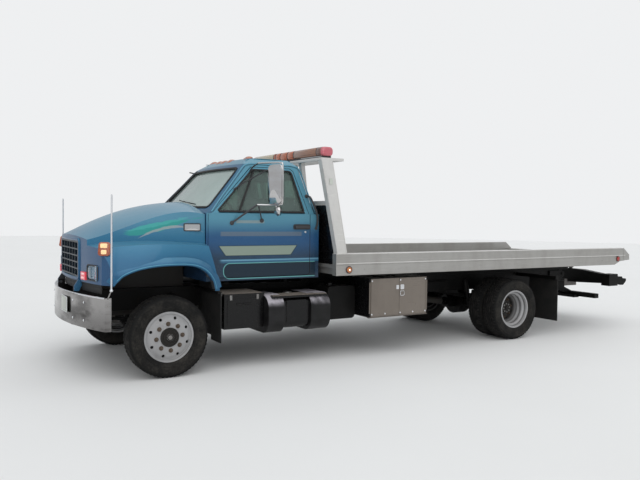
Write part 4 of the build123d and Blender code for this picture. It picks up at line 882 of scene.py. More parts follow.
def smooth_path(points: list, samples: int = 8, closed: bool = False) -> np.ndarray:
    """Return a Catmull-Rom curve: each span blends its four nearest points by cubic weights."""
    points = np.array(points, float)
    if closed:
        ring = np.concatenate((points[-1:], points, points[:2]))
    else:
        ring = np.concatenate((2 * points[:1] - points[1:2], points, 2 * points[-1:] - points[-2:-1]))
    t = np.linspace(0, 1, samples, endpoint=False)[:, None, None]
    a, b, c, d = ring[:-3], ring[1:-2], ring[2:-1], ring[3:]
    curve = 0.5 * (2 * b + (c - a) * t + (2 * a - 5 * b + 4 * c - d) * t ** 2
                   + (3 * b - a - 3 * c + d) * t ** 3)
    curve = curve.transpose(1, 0, 2).reshape(-1, points.shape[1])
    return curve if closed else np.concatenate((curve, points[-1:]))


def tube(path: list | np.ndarray, radius: float, sides: int = 10, up: tuple = (0.13, 0.21, 0.97)) -> Shape:
    """Carry a circle along a path; its ends close with two smaller rings."""
    path = np.array(path, float)
    side, normal = frames_along(path, up, False)
    ring = circle(1.0, sides)
    first, last = path[0] - path[1], path[-1] - path[-2]
    first, last = first / np.linalg.norm(first), last / np.linalg.norm(last)
    middle = np.concatenate(([path[0] + first * radius * 0.3], path, [path[-1] + last * radius * 0.3]))
    side = np.concatenate((side[:1], side, side[-1:]))
    normal = np.concatenate((normal[:1], normal, normal[-1:]))
    scale = np.full(len(middle), radius)
    scale[0] = scale[-1] = radius * 0.7
    rings = middle[:, None] + scale[:, None, None] * (
        side[:, None] * ring[None, :, 0, None] + normal[:, None] * ring[None, :, 1, None])
    return lofted(rings)


def basis(axis: tuple | np.ndarray) -> tuple[np.ndarray, np.ndarray, np.ndarray]:
    """Return a unit axis with two unit vectors square to it."""
    axis = np.array(axis, float)
    axis /= np.linalg.norm(axis)
    helper = np.array((0.0, 0.0, 1.0)) if abs(axis[2]) < 0.9 else np.array((1.0, 0.0, 0.0))
    first = np.cross(helper, axis)
    first /= np.linalg.norm(first)
    return axis, first, np.cross(axis, first)


def turned(profile: list, centre: tuple, axis: tuple, steps: int = 24, phase: float = 0.0,
           looped: bool = False) -> Shape:
    """Turn (radius, height) points about an axis: centre + axis * h + r (first cos a + second sin a).

    Args:
        profile: The (radius, height) points.
        centre: Where height is nothing.
        axis: The way that height grows.
        steps: Number of facets round.
        phase: First facet's angle.
        looped: Whether the profile is a closed ring that clears the axis.

    Returns:
        The turned shape, its ends filled unless it is looped.
    """
    profile = np.array(profile, float)
    axis, first, second = basis(axis)
    angle = phase + np.linspace(0, 2 * math.pi, steps, endpoint=False)
    round_it = np.cos(angle)[:, None] * first + np.sin(angle)[:, None] * second
    rings = (np.array(centre, float) + profile[:, 1, None, None] * axis
             + profile[:, 0, None, None] * round_it[None])
    return lofted(rings, closed=looped, capped=not looped)


def block(low: tuple, high: tuple, edge: float = 0.003, steps: int = 2) -> Shape:
    """Return a block with rounded edges: rounded rectangles whose inset follows a quarter circle."""
    low, high = np.array(low, float), np.array(high, float)
    low, high = np.minimum(low, high), np.maximum(low, high)
    size, middle = high - low, (low + high) / 2
    edge = min(edge, size.min() / TWO_EDGES)
    angle = np.linspace(0, math.pi / 2, steps + 1)
    pulled, lifted = edge * (1 - np.sin(angle)), edge * (1 - np.cos(angle))
    inset = np.concatenate((pulled, pulled[::-1]))
    height = np.concatenate((low[2] + lifted, (high[2] - lifted)[::-1]))
    rings = []
    for pull, z in zip(inset, height):
        flat = rounded(size[0] - 2 * pull, size[1] - 2 * pull, max(edge - pull, 1e-4) + edge, 2)
        rings.append(placed(flat + middle[:2], Plane.XY, z))
    return lofted(np.array(rings))


class Plane(Enum):
    """Which way an outline is carried: the axes of its two numbers, and the one it moves along."""

    XZ = (0, 2, 1)
    YZ = (1, 2, 0)
    XY = (0, 1, 2)


def placed(flat: np.ndarray, plane: Plane, station: float | np.ndarray) -> np.ndarray:
    """Return a plane's points in space, all at one station or each at its own."""
    points = np.zeros((len(flat), 3))
    first, second, third = plane.value
    points[:, first], points[:, second], points[:, third] = flat[:, 0], flat[:, 1], station
    return points


def plate(outline: list | np.ndarray, plane: Plane, low: float, high: float, edge: float = 0.002) -> Shape:
    """Carry an outline between two stations, with its edges drawn in by a chamfer at both faces.

    Each corner moves in along the mean of its two sides' inward normals.

    Args:
        outline: Points in the plane, anticlockwise as the numbers are given.
        plane: The plane that the outline lies in.
        low: The first station.
        high: The second station.
        edge: Width of the chamfer.

    Returns:
        The plate.
    """
    outline = np.array(outline, float)
    ahead = np.roll(outline, -1, axis=0) - outline
    area = float(np.sum(outline[:, 0] * np.roll(outline[:, 1], -1)
                        - np.roll(outline[:, 0], -1) * outline[:, 1]))
    normal = np.stack((-ahead[:, 1], ahead[:, 0]), axis=1) * (1.0 if area > 0 else -1.0)
    normal /= np.maximum(np.linalg.norm(normal, axis=1, keepdims=True), SMALLEST)
    inward = normal + np.roll(normal, 1, axis=0)
    inward /= np.maximum((inward ** 2).sum(axis=1, keepdims=True), 0.35) / 2
    small = outline + inward * edge
    low, high = min(low, high), max(low, high)
    edge = min(edge, (high - low) / TWO_EDGES)
    stations = ((small, low), (outline, low + edge), (outline, high - edge), (small, high))
    return lofted(np.array([placed(flat, plane, station) for flat, station in stations]))


def bolts(centres: list, axis: tuple, radius: float, height: float) -> Shape:
    """Return hexagon heads: six-sided turned steps, each on a round washer."""
    head = [(radius * 0.1, 0), (radius, 0), (radius, height * 0.75), (radius * 0.82, height),
            (radius * 0.1, height)]
    washer = [(radius * 0.2, -height * 0.1), (radius * 1.35, -height * 0.1), (radius * 1.35, height * 0.14),
              (radius * 0.9, height * 0.2)]
    return together([turned(profile, centre, axis, sides)
                     for centre in centres for profile, sides in ((head, 6), (washer, 12))])


def rivets(centres: list, axis: tuple, radius: float = 0.006) -> Shape:
    """Return dome heads: a quarter circle turned about each centre."""
    dome = [(radius, 0), (radius * 0.92, radius * 0.3), (radius * 0.6, radius * 0.58),
            (radius * 0.05, radius * 0.68)]
    return together([turned(dome, centre, axis, 8) for centre in centres])


class Piece:
    """Collects shapes with their finishes and makes one object of them."""

    def __init__(self, name: str, body: str, slot: str, side: float = LEFT) -> None:
        """Start a piece that rides on a body, keeping a slot name that is not read; RIGHT mirrors its shapes.
        """
        self.name, self.body, self.slot, self.side = name, body, slot, side
        self.parts: list[tuple[Shape, Finish]] = []

    def add(self, finish: Finish, *shapes: Shape) -> "Piece":
        """Add shapes of one finish, mirrored for a right-hand piece, and return the piece."""
        self.parts.extend((shape if self.side == LEFT else shape.mirrored(), finish) for shape in shapes)
        return self

    def pair(self, finish: Finish, *shapes: Shape) -> "Piece":
        """Add shapes of one finish, each with its mirror image, and return the piece."""
        return self.add(finish, *(shape.both() for shape in shapes))

    def make(self, smooth_deg: float = 32.0) -> bpy.types.Object:
        """Write the mesh, moved from the front axle, turn its faces outwards and let it ride.

        Args:
            smooth_deg: Edges sharper than this angle stay hard.

        Returns:
            The finished object.
        """
        finishes = list(dict.fromkeys(finish for _, finish in self.parts))
        whole = together([shape for shape, _ in self.parts]).shifted(x=FRONT_AXLE_X)
        numbers = []
        # The joined shape holds all the quads first and then all the caps
        for faces in ("quads", "caps"):
            for shape, finish in self.parts:
                numbers += [finishes.index(finish)] * len(getattr(shape, faces))
        mesh = bpy.data.meshes.new(self.name)
        mesh.from_pydata(whole.points.tolist(), [], whole.quads.tolist() + whole.caps)
        for finish in finishes:
            mesh.materials.append(finish.build())
        mesh.polygons.foreach_set("material_index", numbers)
        outward(mesh)
        mesh.polygons.foreach_set("use_smooth", [True] * len(mesh.polygons))
        mesh.set_sharp_from_angle(angle=math.radians(smooth_deg))
        made = bpy.data.objects.new(self.name, mesh)
        bpy.context.scene.collection.objects.link(made)
        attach(made, self.body)
        log.info("%s: %d faces on %s", self.name, len(mesh.polygons), self.body)
        return made


def outward(mesh: bpy.types.Mesh) -> None:
    """Merge a mesh's doubles and point each closed part's faces outwards."""
    work = bmesh.new()
    work.from_mesh(mesh)
    bmesh.ops.remove_doubles(work, verts=work.verts, dist=1e-6)
    bmesh.ops.recalc_face_normals(work, faces=work.faces)
    work.to_mesh(mesh)
    work.free()


def paint_nodes(finish: Finish, *names: str) -> None:
    """Give carried-over CAD nodes a finish in their material slots."""
    for name in names:
        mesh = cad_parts[name].data
        mesh.materials.clear()
        mesh.materials.append(finish.build())
        mesh.polygons.foreach_set("material_index", [0] * len(mesh.polygons))
        log.info("%s: %s", name, finish.name)


def softened(points: list, radius: float, steps: int = 5) -> np.ndarray:
    """Return a closed outline whose corners are curves: (1-t)^2 a + 2t(1-t) corner + t^2 b."""
    corner = np.array(points, float)
    back = np.roll(corner, 1, axis=0) - corner
    ahead = np.roll(corner, -1, axis=0) - corner
    near = corner + radius * back / np.linalg.norm(back, axis=1, keepdims=True)
    far = corner + radius * ahead / np.linalg.norm(ahead, axis=1, keepdims=True)
    t = np.linspace(0, 1, steps)[None, :, None]
    curve = (1 - t) ** 2 * near[:, None] + 2 * t * (1 - t) * corner[:, None] + t ** 2 * far[:, None]
    return curve.reshape(-1, corner.shape[1])


def resampled(points: np.ndarray, spacing: float, closed: bool = True) -> np.ndarray:
    """Return points at even steps along a line, by straight interpolation over its length."""
    line = np.concatenate((points, points[:1])) if closed else np.array(points, float)
    run = np.concatenate(([0.0], np.cumsum(np.linalg.norm(np.diff(line, axis=0), axis=1))))
    count = max(int(run[-1] / spacing), 8)
    at = np.linspace(0, run[-1], count, endpoint=not closed)
    return np.stack([np.interp(at, run, line[:, axis]) for axis in range(line.shape[1])], axis=1)


def rectangle(low: tuple, high: tuple, radius: float, steps: int = 3) -> np.ndarray:
    """Return a rounded rectangle between two corners."""
    low, high = np.array(low, float), np.array(high, float)
    return rounded(*(high - low), radius, steps) + (low + high) / 2


def domed(outline: np.ndarray, plane: Plane, base: float, lip: float, rise: float,
          follow: Callable | None = None) -> Shape:
    """Fill an outline with a low dome: base + lip + rise (1 - s^2) on copies scaled by s.

    Args:
        outline: Closed line in the plane.
        plane: The plane; its third axis is the one that the dome grows along.
        base: Station of the dome's foot.
        lip: Height of its upright edge, with its sign.
        rise: Height of its crown over the edge, with its sign.
        follow: Offset along the third axis for each point, where the base is curved.

    Returns:
        The closed dome.
    """
    outline = np.array(outline, float)
    middle = outline.mean(axis=0)
    rings = []
    for scale, share in ((1.0, 0.0), (1.0, 1.0), (0.96, 1.0), (0.85, 1.0), (0.65, 1.0), (0.4, 1.0),
                         (0.12, 1.0)):
        flat = middle + scale * (outline - middle)
        station = base + share * (lip + rise * (1 - scale ** 2))
        rings.append(placed(flat, plane, station + follow(*flat.T) if follow else station))
    return lofted(np.array(rings))


# Wheels


@dataclass
class Tyres:
    """Tyres with ribbed treads, zigzag grooves and ringed sidewalls, in place of the plain rings."""

    blocks: int = 60
    steps: int = 360
    zigzag: float = 0.0032

    def profile(self) -> np.ndarray:
        """Return one half of the section as (out, radius, zigzag share, lug share) rows."""
        return np.array((
            (0.094, 0.2603, 0, 0), (0.104, 0.268, 0, 0), (0.113, 0.284, 0, 0), (0.1185, 0.299, 0, 0),
            (0.1205, 0.301, 0, 0), (0.1205, 0.3065, 0, 0), (0.119, 0.3085, 0, 0), (0.1228, 0.328, 0, 0),
            (0.1236, 0.345, 0, 0), (0.1222, 0.361, 0, 0), (0.1236, 0.363, 0, 0), (0.1236, 0.368, 0, 0),
            (0.1212, 0.3705, 0, 0), (0.1175, 0.384, 0, 0), (0.1125, 0.396, 0, 0), (0.109, 0.401, 0, 0.3),
            (0.1055, 0.41, 0, 1.0), (0.099, 0.4155, 0, 1.0), (0.088, 0.4178, 0, 1.0),
            (0.069, 0.4182, 0, 0.6), (0.06, 0.4183, 1, 0), (0.058, 0.4073, 1, 0), (0.0485, 0.4073, 1, 0),
            (0.0465, 0.4188, 1, 0), (0.0345, 0.419, 0, 0), (0.0245, 0.419, 1, 0), (0.0225, 0.408, 1, 0),
            (0.0135, 0.408, 1, 0), (0.0115, 0.419, 1, 0),
        ))

    def ring(self, x: float, y: float, lug: float) -> Shape:
        """Turn the section about the axle; zigzag shifts it along Y and lugs cut its shoulders.

        Args:
            x: Axle's place along the truck.
            y: Middle of the tyre across the truck.
            lug: Depth of the shoulder slots.

        Returns:
            The tyre, centred on its axle.
        """
        half = self.profile()
        whole = np.concatenate((half, half[::-1] * np.array((-1.0, 1.0, 1.0, 1.0))))
        angle = np.linspace(0, 2 * math.pi, self.steps, endpoint=False)
        wave = np.abs(((angle * self.blocks / (2 * math.pi)) % 1.0) - 0.5) * 4 - 1
        slot = (np.cos(angle * self.blocks) > 0.45).astype(float)
        across = y + whole[:, 0, None] + self.zigzag * whole[:, 2, None] * wave[None]
        radius = whole[:, 1, None] - lug * whole[:, 3, None] * slot[None]
        rings = np.stack((x + radius * np.cos(angle), across, AXLE_Z + radius * np.sin(angle)), axis=2)
        return lofted(rings, closed=True)

    def make(self) -> None:
        """Make the front tyres and the twin rear pairs."""
        for side, name in SIDE_NAMES:
            front = self.ring(0.0, side * 1.0, 0.004)
            tyre = Piece(f"front_tyre_tread_{name}", f"front_wheel_{name}", "tyre")
            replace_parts(tyre.add(Palette.front_rubber, front).make(40), f"front_tyre_{name}")
            pair = [self.ring(WHEELBASE, side * y, 0.009) for y in (0.776, 1.056)]
            tyre = Piece(f"rear_tyre_treads_{name}", f"rear_wheels_{name}", "tyre")
            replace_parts(tyre.add(Palette.rear_rubber, *pair).make(40), f"rear_tyres_{name}")


@dataclass
class WheelFittings:
    """Nuts, hub faces, brake drums, axle flanges and valves of the wheels."""

    stud_ring: float = 0.1375
    studs: int = 8
    phase: float = math.radians(6.0)

    def spots(self, x: float, y: float, radius: float, count: int, phase: float) -> list:
        """Return points round an axle: (x + r cos a, y, z + r sin a)."""
        angle = phase + np.linspace(0, 2 * math.pi, count, endpoint=False)
        height = AXLE_Z + radius * np.sin(angle)
        return np.stack((x + radius * np.cos(angle), np.full(count, y), height), axis=1).tolist()

    def studded(self, x: float, y: float) -> list[Shape]:
        """Return wheel nuts with their stud ends and the round washers under them."""
        spots = self.spots(x, y, self.stud_ring, self.studs, self.phase)
        nuts = bolts(spots, OUT, 0.0175, 0.02)
        ends = [turned([(0.002, 0), (0.0095, 0), (0.0095, 0.03), (0.007, 0.033), (0.001, 0.033)],
                       spot, OUT, 10) for spot in spots]
        return [nuts, *ends]

    def front(self, side: float, name: str) -> None:
        """Make one front hub: its face, cap bolts, nuts, brake drum, valve and plug."""
        centre = (0.0, -1.0, AXLE_Z)
        cap = turned([(0.001, 0.1312), (0.026, 0.1312), (0.0335, 0.13), (0.037, 0.1265), (0.044, 0.117),
                      (0.06, 0.116), (0.0625, 0.119), (0.069, 0.119), (0.0715, 0.115), (0.096, 0.1122),
                      (0.099, 0.1095), (0.099, 0.103), (0.001, 0.103)], centre, OUT, 48)
        screws = bolts(self.spots(0.0, -1.1145, 0.083, 6, 0.3), OUT, 0.0075, 0.006)
        drum = turned([(0.075, 0.062), (0.214, 0.062), (0.222, 0.054), (0.222, -0.06), (0.212, -0.06),
                       (0.212, 0.05), (0.075, 0.052)], centre, OUT, 40, looped=True)
        valve = tube([(0.205, -1.06, AXLE_Z - 0.045), (0.209, -1.085, AXLE_Z - 0.047),
                      (0.205, -1.108, AXLE_Z - 0.046)], 0.004, 8)
        plug = turned([(0.001, 0.1345), (0.018, 0.1345), (0.022, 0.1325), (0.022, 0.13), (0.001, 0.13)],
                      centre, OUT, 28)
        hub = Piece(f"front_hub_{name}", f"front_wheel_{name}", "cast_iron", side)
        hub.add(Palette.hub, cap, screws).add(Palette.nut, *self.studded(0.0, -1.1025))
        hub.add(Palette.chassis, drum).add(Palette.steel, valve, plug).make()

    def rear(self, side: float, name: str) -> None:
        """Make one rear hub: its axle flange with bolts, nuts, and the rims' humps."""
        face = -0.916
        flange = turned([(0.001, 0.096), (0.018, 0.096), (0.024, 0.09), (0.027, 0.0835), (0.072, 0.083),
                         (0.0785, 0.081), (0.079, 0.07), (0.001, 0.07)], (WHEELBASE, face, AXLE_Z), OUT, 40)
        heads = bolts(self.spots(WHEELBASE, face - 0.0835, 0.058, 8, 0.1), OUT, 0.0095, 0.01)
        humps = [turned([(0.262, -0.01), (radius, -0.004), (radius, 0.004), (0.262, 0.01)],
                        (WHEELBASE, y, AXLE_Z), OUT, 48, looped=True)
                 for y, radius in ((-1.1, 0.232), (-1.05, 0.236))]
        hub = Piece(f"rear_hub_{name}", f"rear_wheels_{name}", "cast_iron", side).add(Palette.hub, flange)
        hub.add(Palette.nut, *self.studded(WHEELBASE, face - 0.0125))
        hub.add(Palette.steel, together([heads, *humps])).make()

    def make(self) -> None:
        """Make the fittings of all four hubs."""
        for side, name in SIDE_NAMES:
            self.front(side, name)
            self.rear(side, name)


# Nose


@dataclass
class FrontEnd:
    """Lamps, grille surround, arch flares and bumper fittings of the truck's nose."""

    nose_x: float = -0.775
    nose_radius: float = 4.31
    bumper_x: float = -0.872
    bumper_radius: float = 3.156

    def on_nose(self, y: np.ndarray, _: np.ndarray) -> np.ndarray:
        """Return how far the hood's bowed front falls back: y^2 / 2R."""
        return np.asarray(y) ** 2 / (2 * self.nose_radius)

    def headlamps(self) -> None:
        """Make the lamps' lenses, bezels and bowls."""
        outline = rectangle((-0.921, 1.01), (-0.699, 1.14), 0.018, 4)
        lens = domed(outline, Plane.YZ, self.nose_x + 0.012, -0.01, -0.006, self.on_nose)
        rim = resampled(rectangle((-0.932, 1.0), (-0.688, 1.15), 0.022, 4), 0.02)
        path = placed(rim, Plane.YZ, self.nose_x - 0.002 + self.on_nose(*rim.T))
        bezel = swept(path, (0.014, 0.014, 0.005), AHEAD, True)
        inner = domed(rectangle((-0.8, 1.022), (-0.712, 1.128), 0.03, 5), Plane.YZ, self.nose_x + 0.004,
                      -0.01, -0.005, self.on_nose)
        piece = Piece("headlamps", "hood", "lamp_lens").pair(Palette.clear, lens)
        piece.pair(Palette.plastic, bezel).pair(Palette.headlamp_core, inner).make()

    def turn_lamps(self) -> None:
        """Make the amber corner lamps with their two lit windows, and the red flashers by the grille."""
        stand = (Matrix.Translation((-0.632, -1.024, 1.322)) @ Matrix.Rotation(math.radians(-29.4), 4, "Z")
                 @ Matrix.Rotation(math.radians(-15.0), 4, "X"))
        housing = domed(rectangle((-0.057, -0.069), (0.059, 0.067), 0.026, 5), Plane.XZ,
                        0.055, -0.067, -0.012)
        windows = [domed(rectangle(low, high, 0.01, 4), Plane.XZ, -0.014, -0.011, -0.003)
                   for low, high in (((-0.036, 0.006), (0.032, 0.05)), ((-0.024, -0.056), (0.028, -0.014)))]
        flasher = domed(rectangle((-0.68, 0.992), (-0.552, 1.074), 0.012, 3), Plane.YZ, self.nose_x + 0.006,
                        -0.026, -0.003, self.on_nose)
        bulbs = [domed(rectangle((-0.652, z - 0.01), (-0.582, z + 0.01), 0.006, 3), Plane.YZ,
                       self.nose_x - 0.018, -0.006, -0.003, self.on_nose) for z in (1.014, 1.054)]
        piece = Piece("corner_lamps", "hood", "amber_plastic")
        piece.pair(Palette.amber_housing, housing.moved(stand))
        piece.pair(Palette.warm_bulb, *(window.moved(stand) for window in windows))
        piece.pair(Palette.red_lit, flasher).pair(Palette.pink_bulb, *bulbs).make()

    def grille_surround(self) -> None:
        """Make the raised frame of the grille, the dark mesh behind its bars, a black sheet behind that as
        painted shade, and the skirt under the nose.
        """
        rim = resampled(rectangle((-0.452, 0.988), (0.452, 1.397), 0.035, 5), 0.02)
        path = placed(rim, Plane.YZ, self.nose_x + 0.001 + self.on_nose(*rim.T))
        frame_bar = swept(path, (0.032, 0.03, 0.012, 4), AHEAD, True)
        rows = [swept([(self.nose_x + 0.062, -0.415, z), (self.nose_x + 0.062, 0.415, z)],
                      (0.003, 0.004, 0.001, 1), UP) for z in np.linspace(1.03, 1.36, 23)]
        # Black sheet behind the grille: painted shade for the dark space behind it
        back = plate(rectangle((-0.47, 0.975), (0.47, 1.405), 0.02, 2), Plane.YZ, self.nose_x + 0.068,
                     self.nose_x + 0.072, 0.001)
        skirt = []
        # Full width above the hinge ears, and three lower lengths that leave a notch over each ear
        for left, right, z, thick, tall in ((-0.96, 0.96, 0.95, 0.008, 0.042),
                                            (-0.96, -0.47, 0.905, 0.006, 0.064),
                                            (-0.37, 0.37, 0.905, 0.006, 0.064),
                                            (0.47, 0.96, 0.905, 0.006, 0.064)):
            width = np.linspace(left, right, 33)
            hem = np.column_stack((self.nose_x + 0.026 + self.on_nose(width, width), width, np.full(33, z)))
            skirt.append(swept(hem, (thick, tall, 0.0025, 2)))
        piece = Piece("grille_surround", "hood", "blue_paint")
        piece.add(Palette.hood_paint, frame_bar).add(Palette.plastic, *rows, back).add(Palette.seal, *skirt)
        piece.make(50)

    def arch_flares(self) -> None:
        """Make the raised lips round the wheel arches: a flare section carried round each opening, with a
        paler bead along its crest as a painted highlight.
        """
        arch = smooth_path([(-0.571, 0.958), (-0.53, 1.005), (-0.47, 1.063), (-0.325, 1.118), (-0.104, 1.15),
                            (0.188, 1.148), (0.351, 1.097), (0.456, 0.99), (0.494, 0.885)], 7)
        tangent = np.gradient(arch, axis=0)
        tangent /= np.linalg.norm(tangent, axis=1, keepdims=True)
        normal = np.stack((-tangent[:, 1], tangent[:, 0]), axis=1)
        skin = np.interp(arch[:, 0], (-0.58, -0.5, -0.25, 0.0, 0.3, 0.545),
                         (1.088, 1.128, 1.146, 1.153, 1.128, 1.085))
        fade = np.interp(arch[:, 0], (-0.571, -0.45, 0.42, 0.494), (0.35, 1.0, 1.0, 0.55))
        section = ((0.08, -0.004), (0.066, 0.006), (0.044, 0.024), (0.022, 0.036), (0.004, 0.04),
                   (-0.004, 0.034), (-0.004, -0.06), (0.012, -0.06), (0.05, -0.012))
        rings = np.stack([np.column_stack((arch[:, 0] + out * normal[:, 0],
                                           -(skin + proud * np.where(proud > 0, fade, 1.0)),
                                           arch[:, 1] + out * normal[:, 1])) for out, proud in section],
                         axis=1)
        flare = lofted(rings)
        # A paler bead along the crest: painted highlight
        highlight_crest = tube(np.column_stack((arch[:, 0] + 0.013 * normal[:, 0], -(skin + 0.0375 * fade),
                                      arch[:, 1] + 0.013 * normal[:, 1])), 0.0045, 8)
        piece = Piece("arch_flares", "hood", "blue_paint")
        piece.pair(Palette.hood_paint, flare).pair(Palette.lip_highlight_paint, highlight_crest).make(60)

    def badge_and_latch(self) -> None:
        """Make the blank framed plate on each side of the hood, and the rubber latches."""
        badge = domed(rectangle((0.2, 1.494), (0.384, 1.578), 0.012, 3), Plane.XZ, -0.936, -0.014, -0.002,
                      self.hood_flank)
        inner = domed(rectangle((0.212, 1.505), (0.372, 1.567), 0.008, 3), Plane.XZ, -0.95, -0.003, -0.001,
                      self.hood_flank)
        latch = domed(rectangle((0.405, 1.02), (0.455, 1.11), 0.01, 3), Plane.XZ, -1.06, -0.03, -0.004)
        piece = Piece("hood_badges", "hood", "black_plastic")
        piece.pair(Palette.plastic, badge, latch).pair(Palette.chrome, inner).make()

    @staticmethod
    def hood_flank(x: np.ndarray, z: np.ndarray) -> np.ndarray:
        """Return how far the hood's flank lies inside the badge's plane."""
        return 0.11 * (0.3 - np.asarray(x)) + 0.02 * (np.asarray(z) - 1.53)

    def bumper(self) -> None:
        """Make the bumper's bolts, blank plate with its frame, a bright bead along its top edge as a painted
        highlight, tow hooks and marker rods.
        """
        def face(y: float | np.ndarray) -> float | np.ndarray:
            """Return the bumper's face at a width: nose + y^2 / 2R."""
            return self.bumper_x + y * y / (2 * self.bumper_radius)

        spots = [(face(y) + 0.001, y, z) for y in (-0.78, -0.52, 0.52, 0.78) for z in (0.6, 0.78)]
        heads = together([rivets([spot], AHEAD, 0.013) for spot in spots])
        blank = domed(rectangle((-0.405, 0.64), (-0.085, 0.795), 0.01, 3), Plane.YZ, face(0.085) + 0.01,
                      -0.008, -0.001)
        border = resampled(rectangle((-0.41, 0.636), (-0.08, 0.799), 0.012, 3), 0.02)
        trim = swept(placed(border, Plane.YZ, face(0.085) + 0.003), (0.006, 0.006, 0.002, 2), AHEAD, True)
        piece = Piece("bumper_fittings", "chassis", "chrome")
        # A bright bead along the top edge: painted highlight on the bumper's rounded top
        width = np.linspace(-1.13, 1.13, 41)
        top_highlight_bead = tube(np.column_stack((self.bumper_x + 0.0088 + width ** 2 / (2 * self.bumper_radius), width,
                                     np.full(41, 0.85))), 0.0085, 10)
        piece.add(Palette.bright, heads, trim, top_highlight_bead).add(Palette.blank_plate, blank)
        hooks = [tube(smooth_path([(-0.74, y, 0.6), (-0.8, y, 0.575), (-0.83, y, 0.545), (-0.8, y, 0.515),
                                   (-0.75, y, 0.52)], 6), 0.014, 10) for y in (-0.37, 0.37)]
        rods = [tube([(-0.611, -1.215, 0.93), (-0.611, -1.215, 1.4), (-0.611, -1.215, 1.846)], 0.0085, 10),
                turned([(0.001, 0), (0.016, 0), (0.016, 0.012), (0.01, 0.02), (0.001, 0.02)],
                       (-0.611, -1.215, 0.924), UP, 14)]
        piece.add(Palette.chassis, *hooks).pair(Palette.bright, *rods).make()

    def make(self) -> None:
        """Make the whole nose."""
        self.headlamps()
        self.turn_lamps()
        self.grille_surround()
        self.arch_flares()
        self.badge_and_latch()
        self.bumper()


# Cab


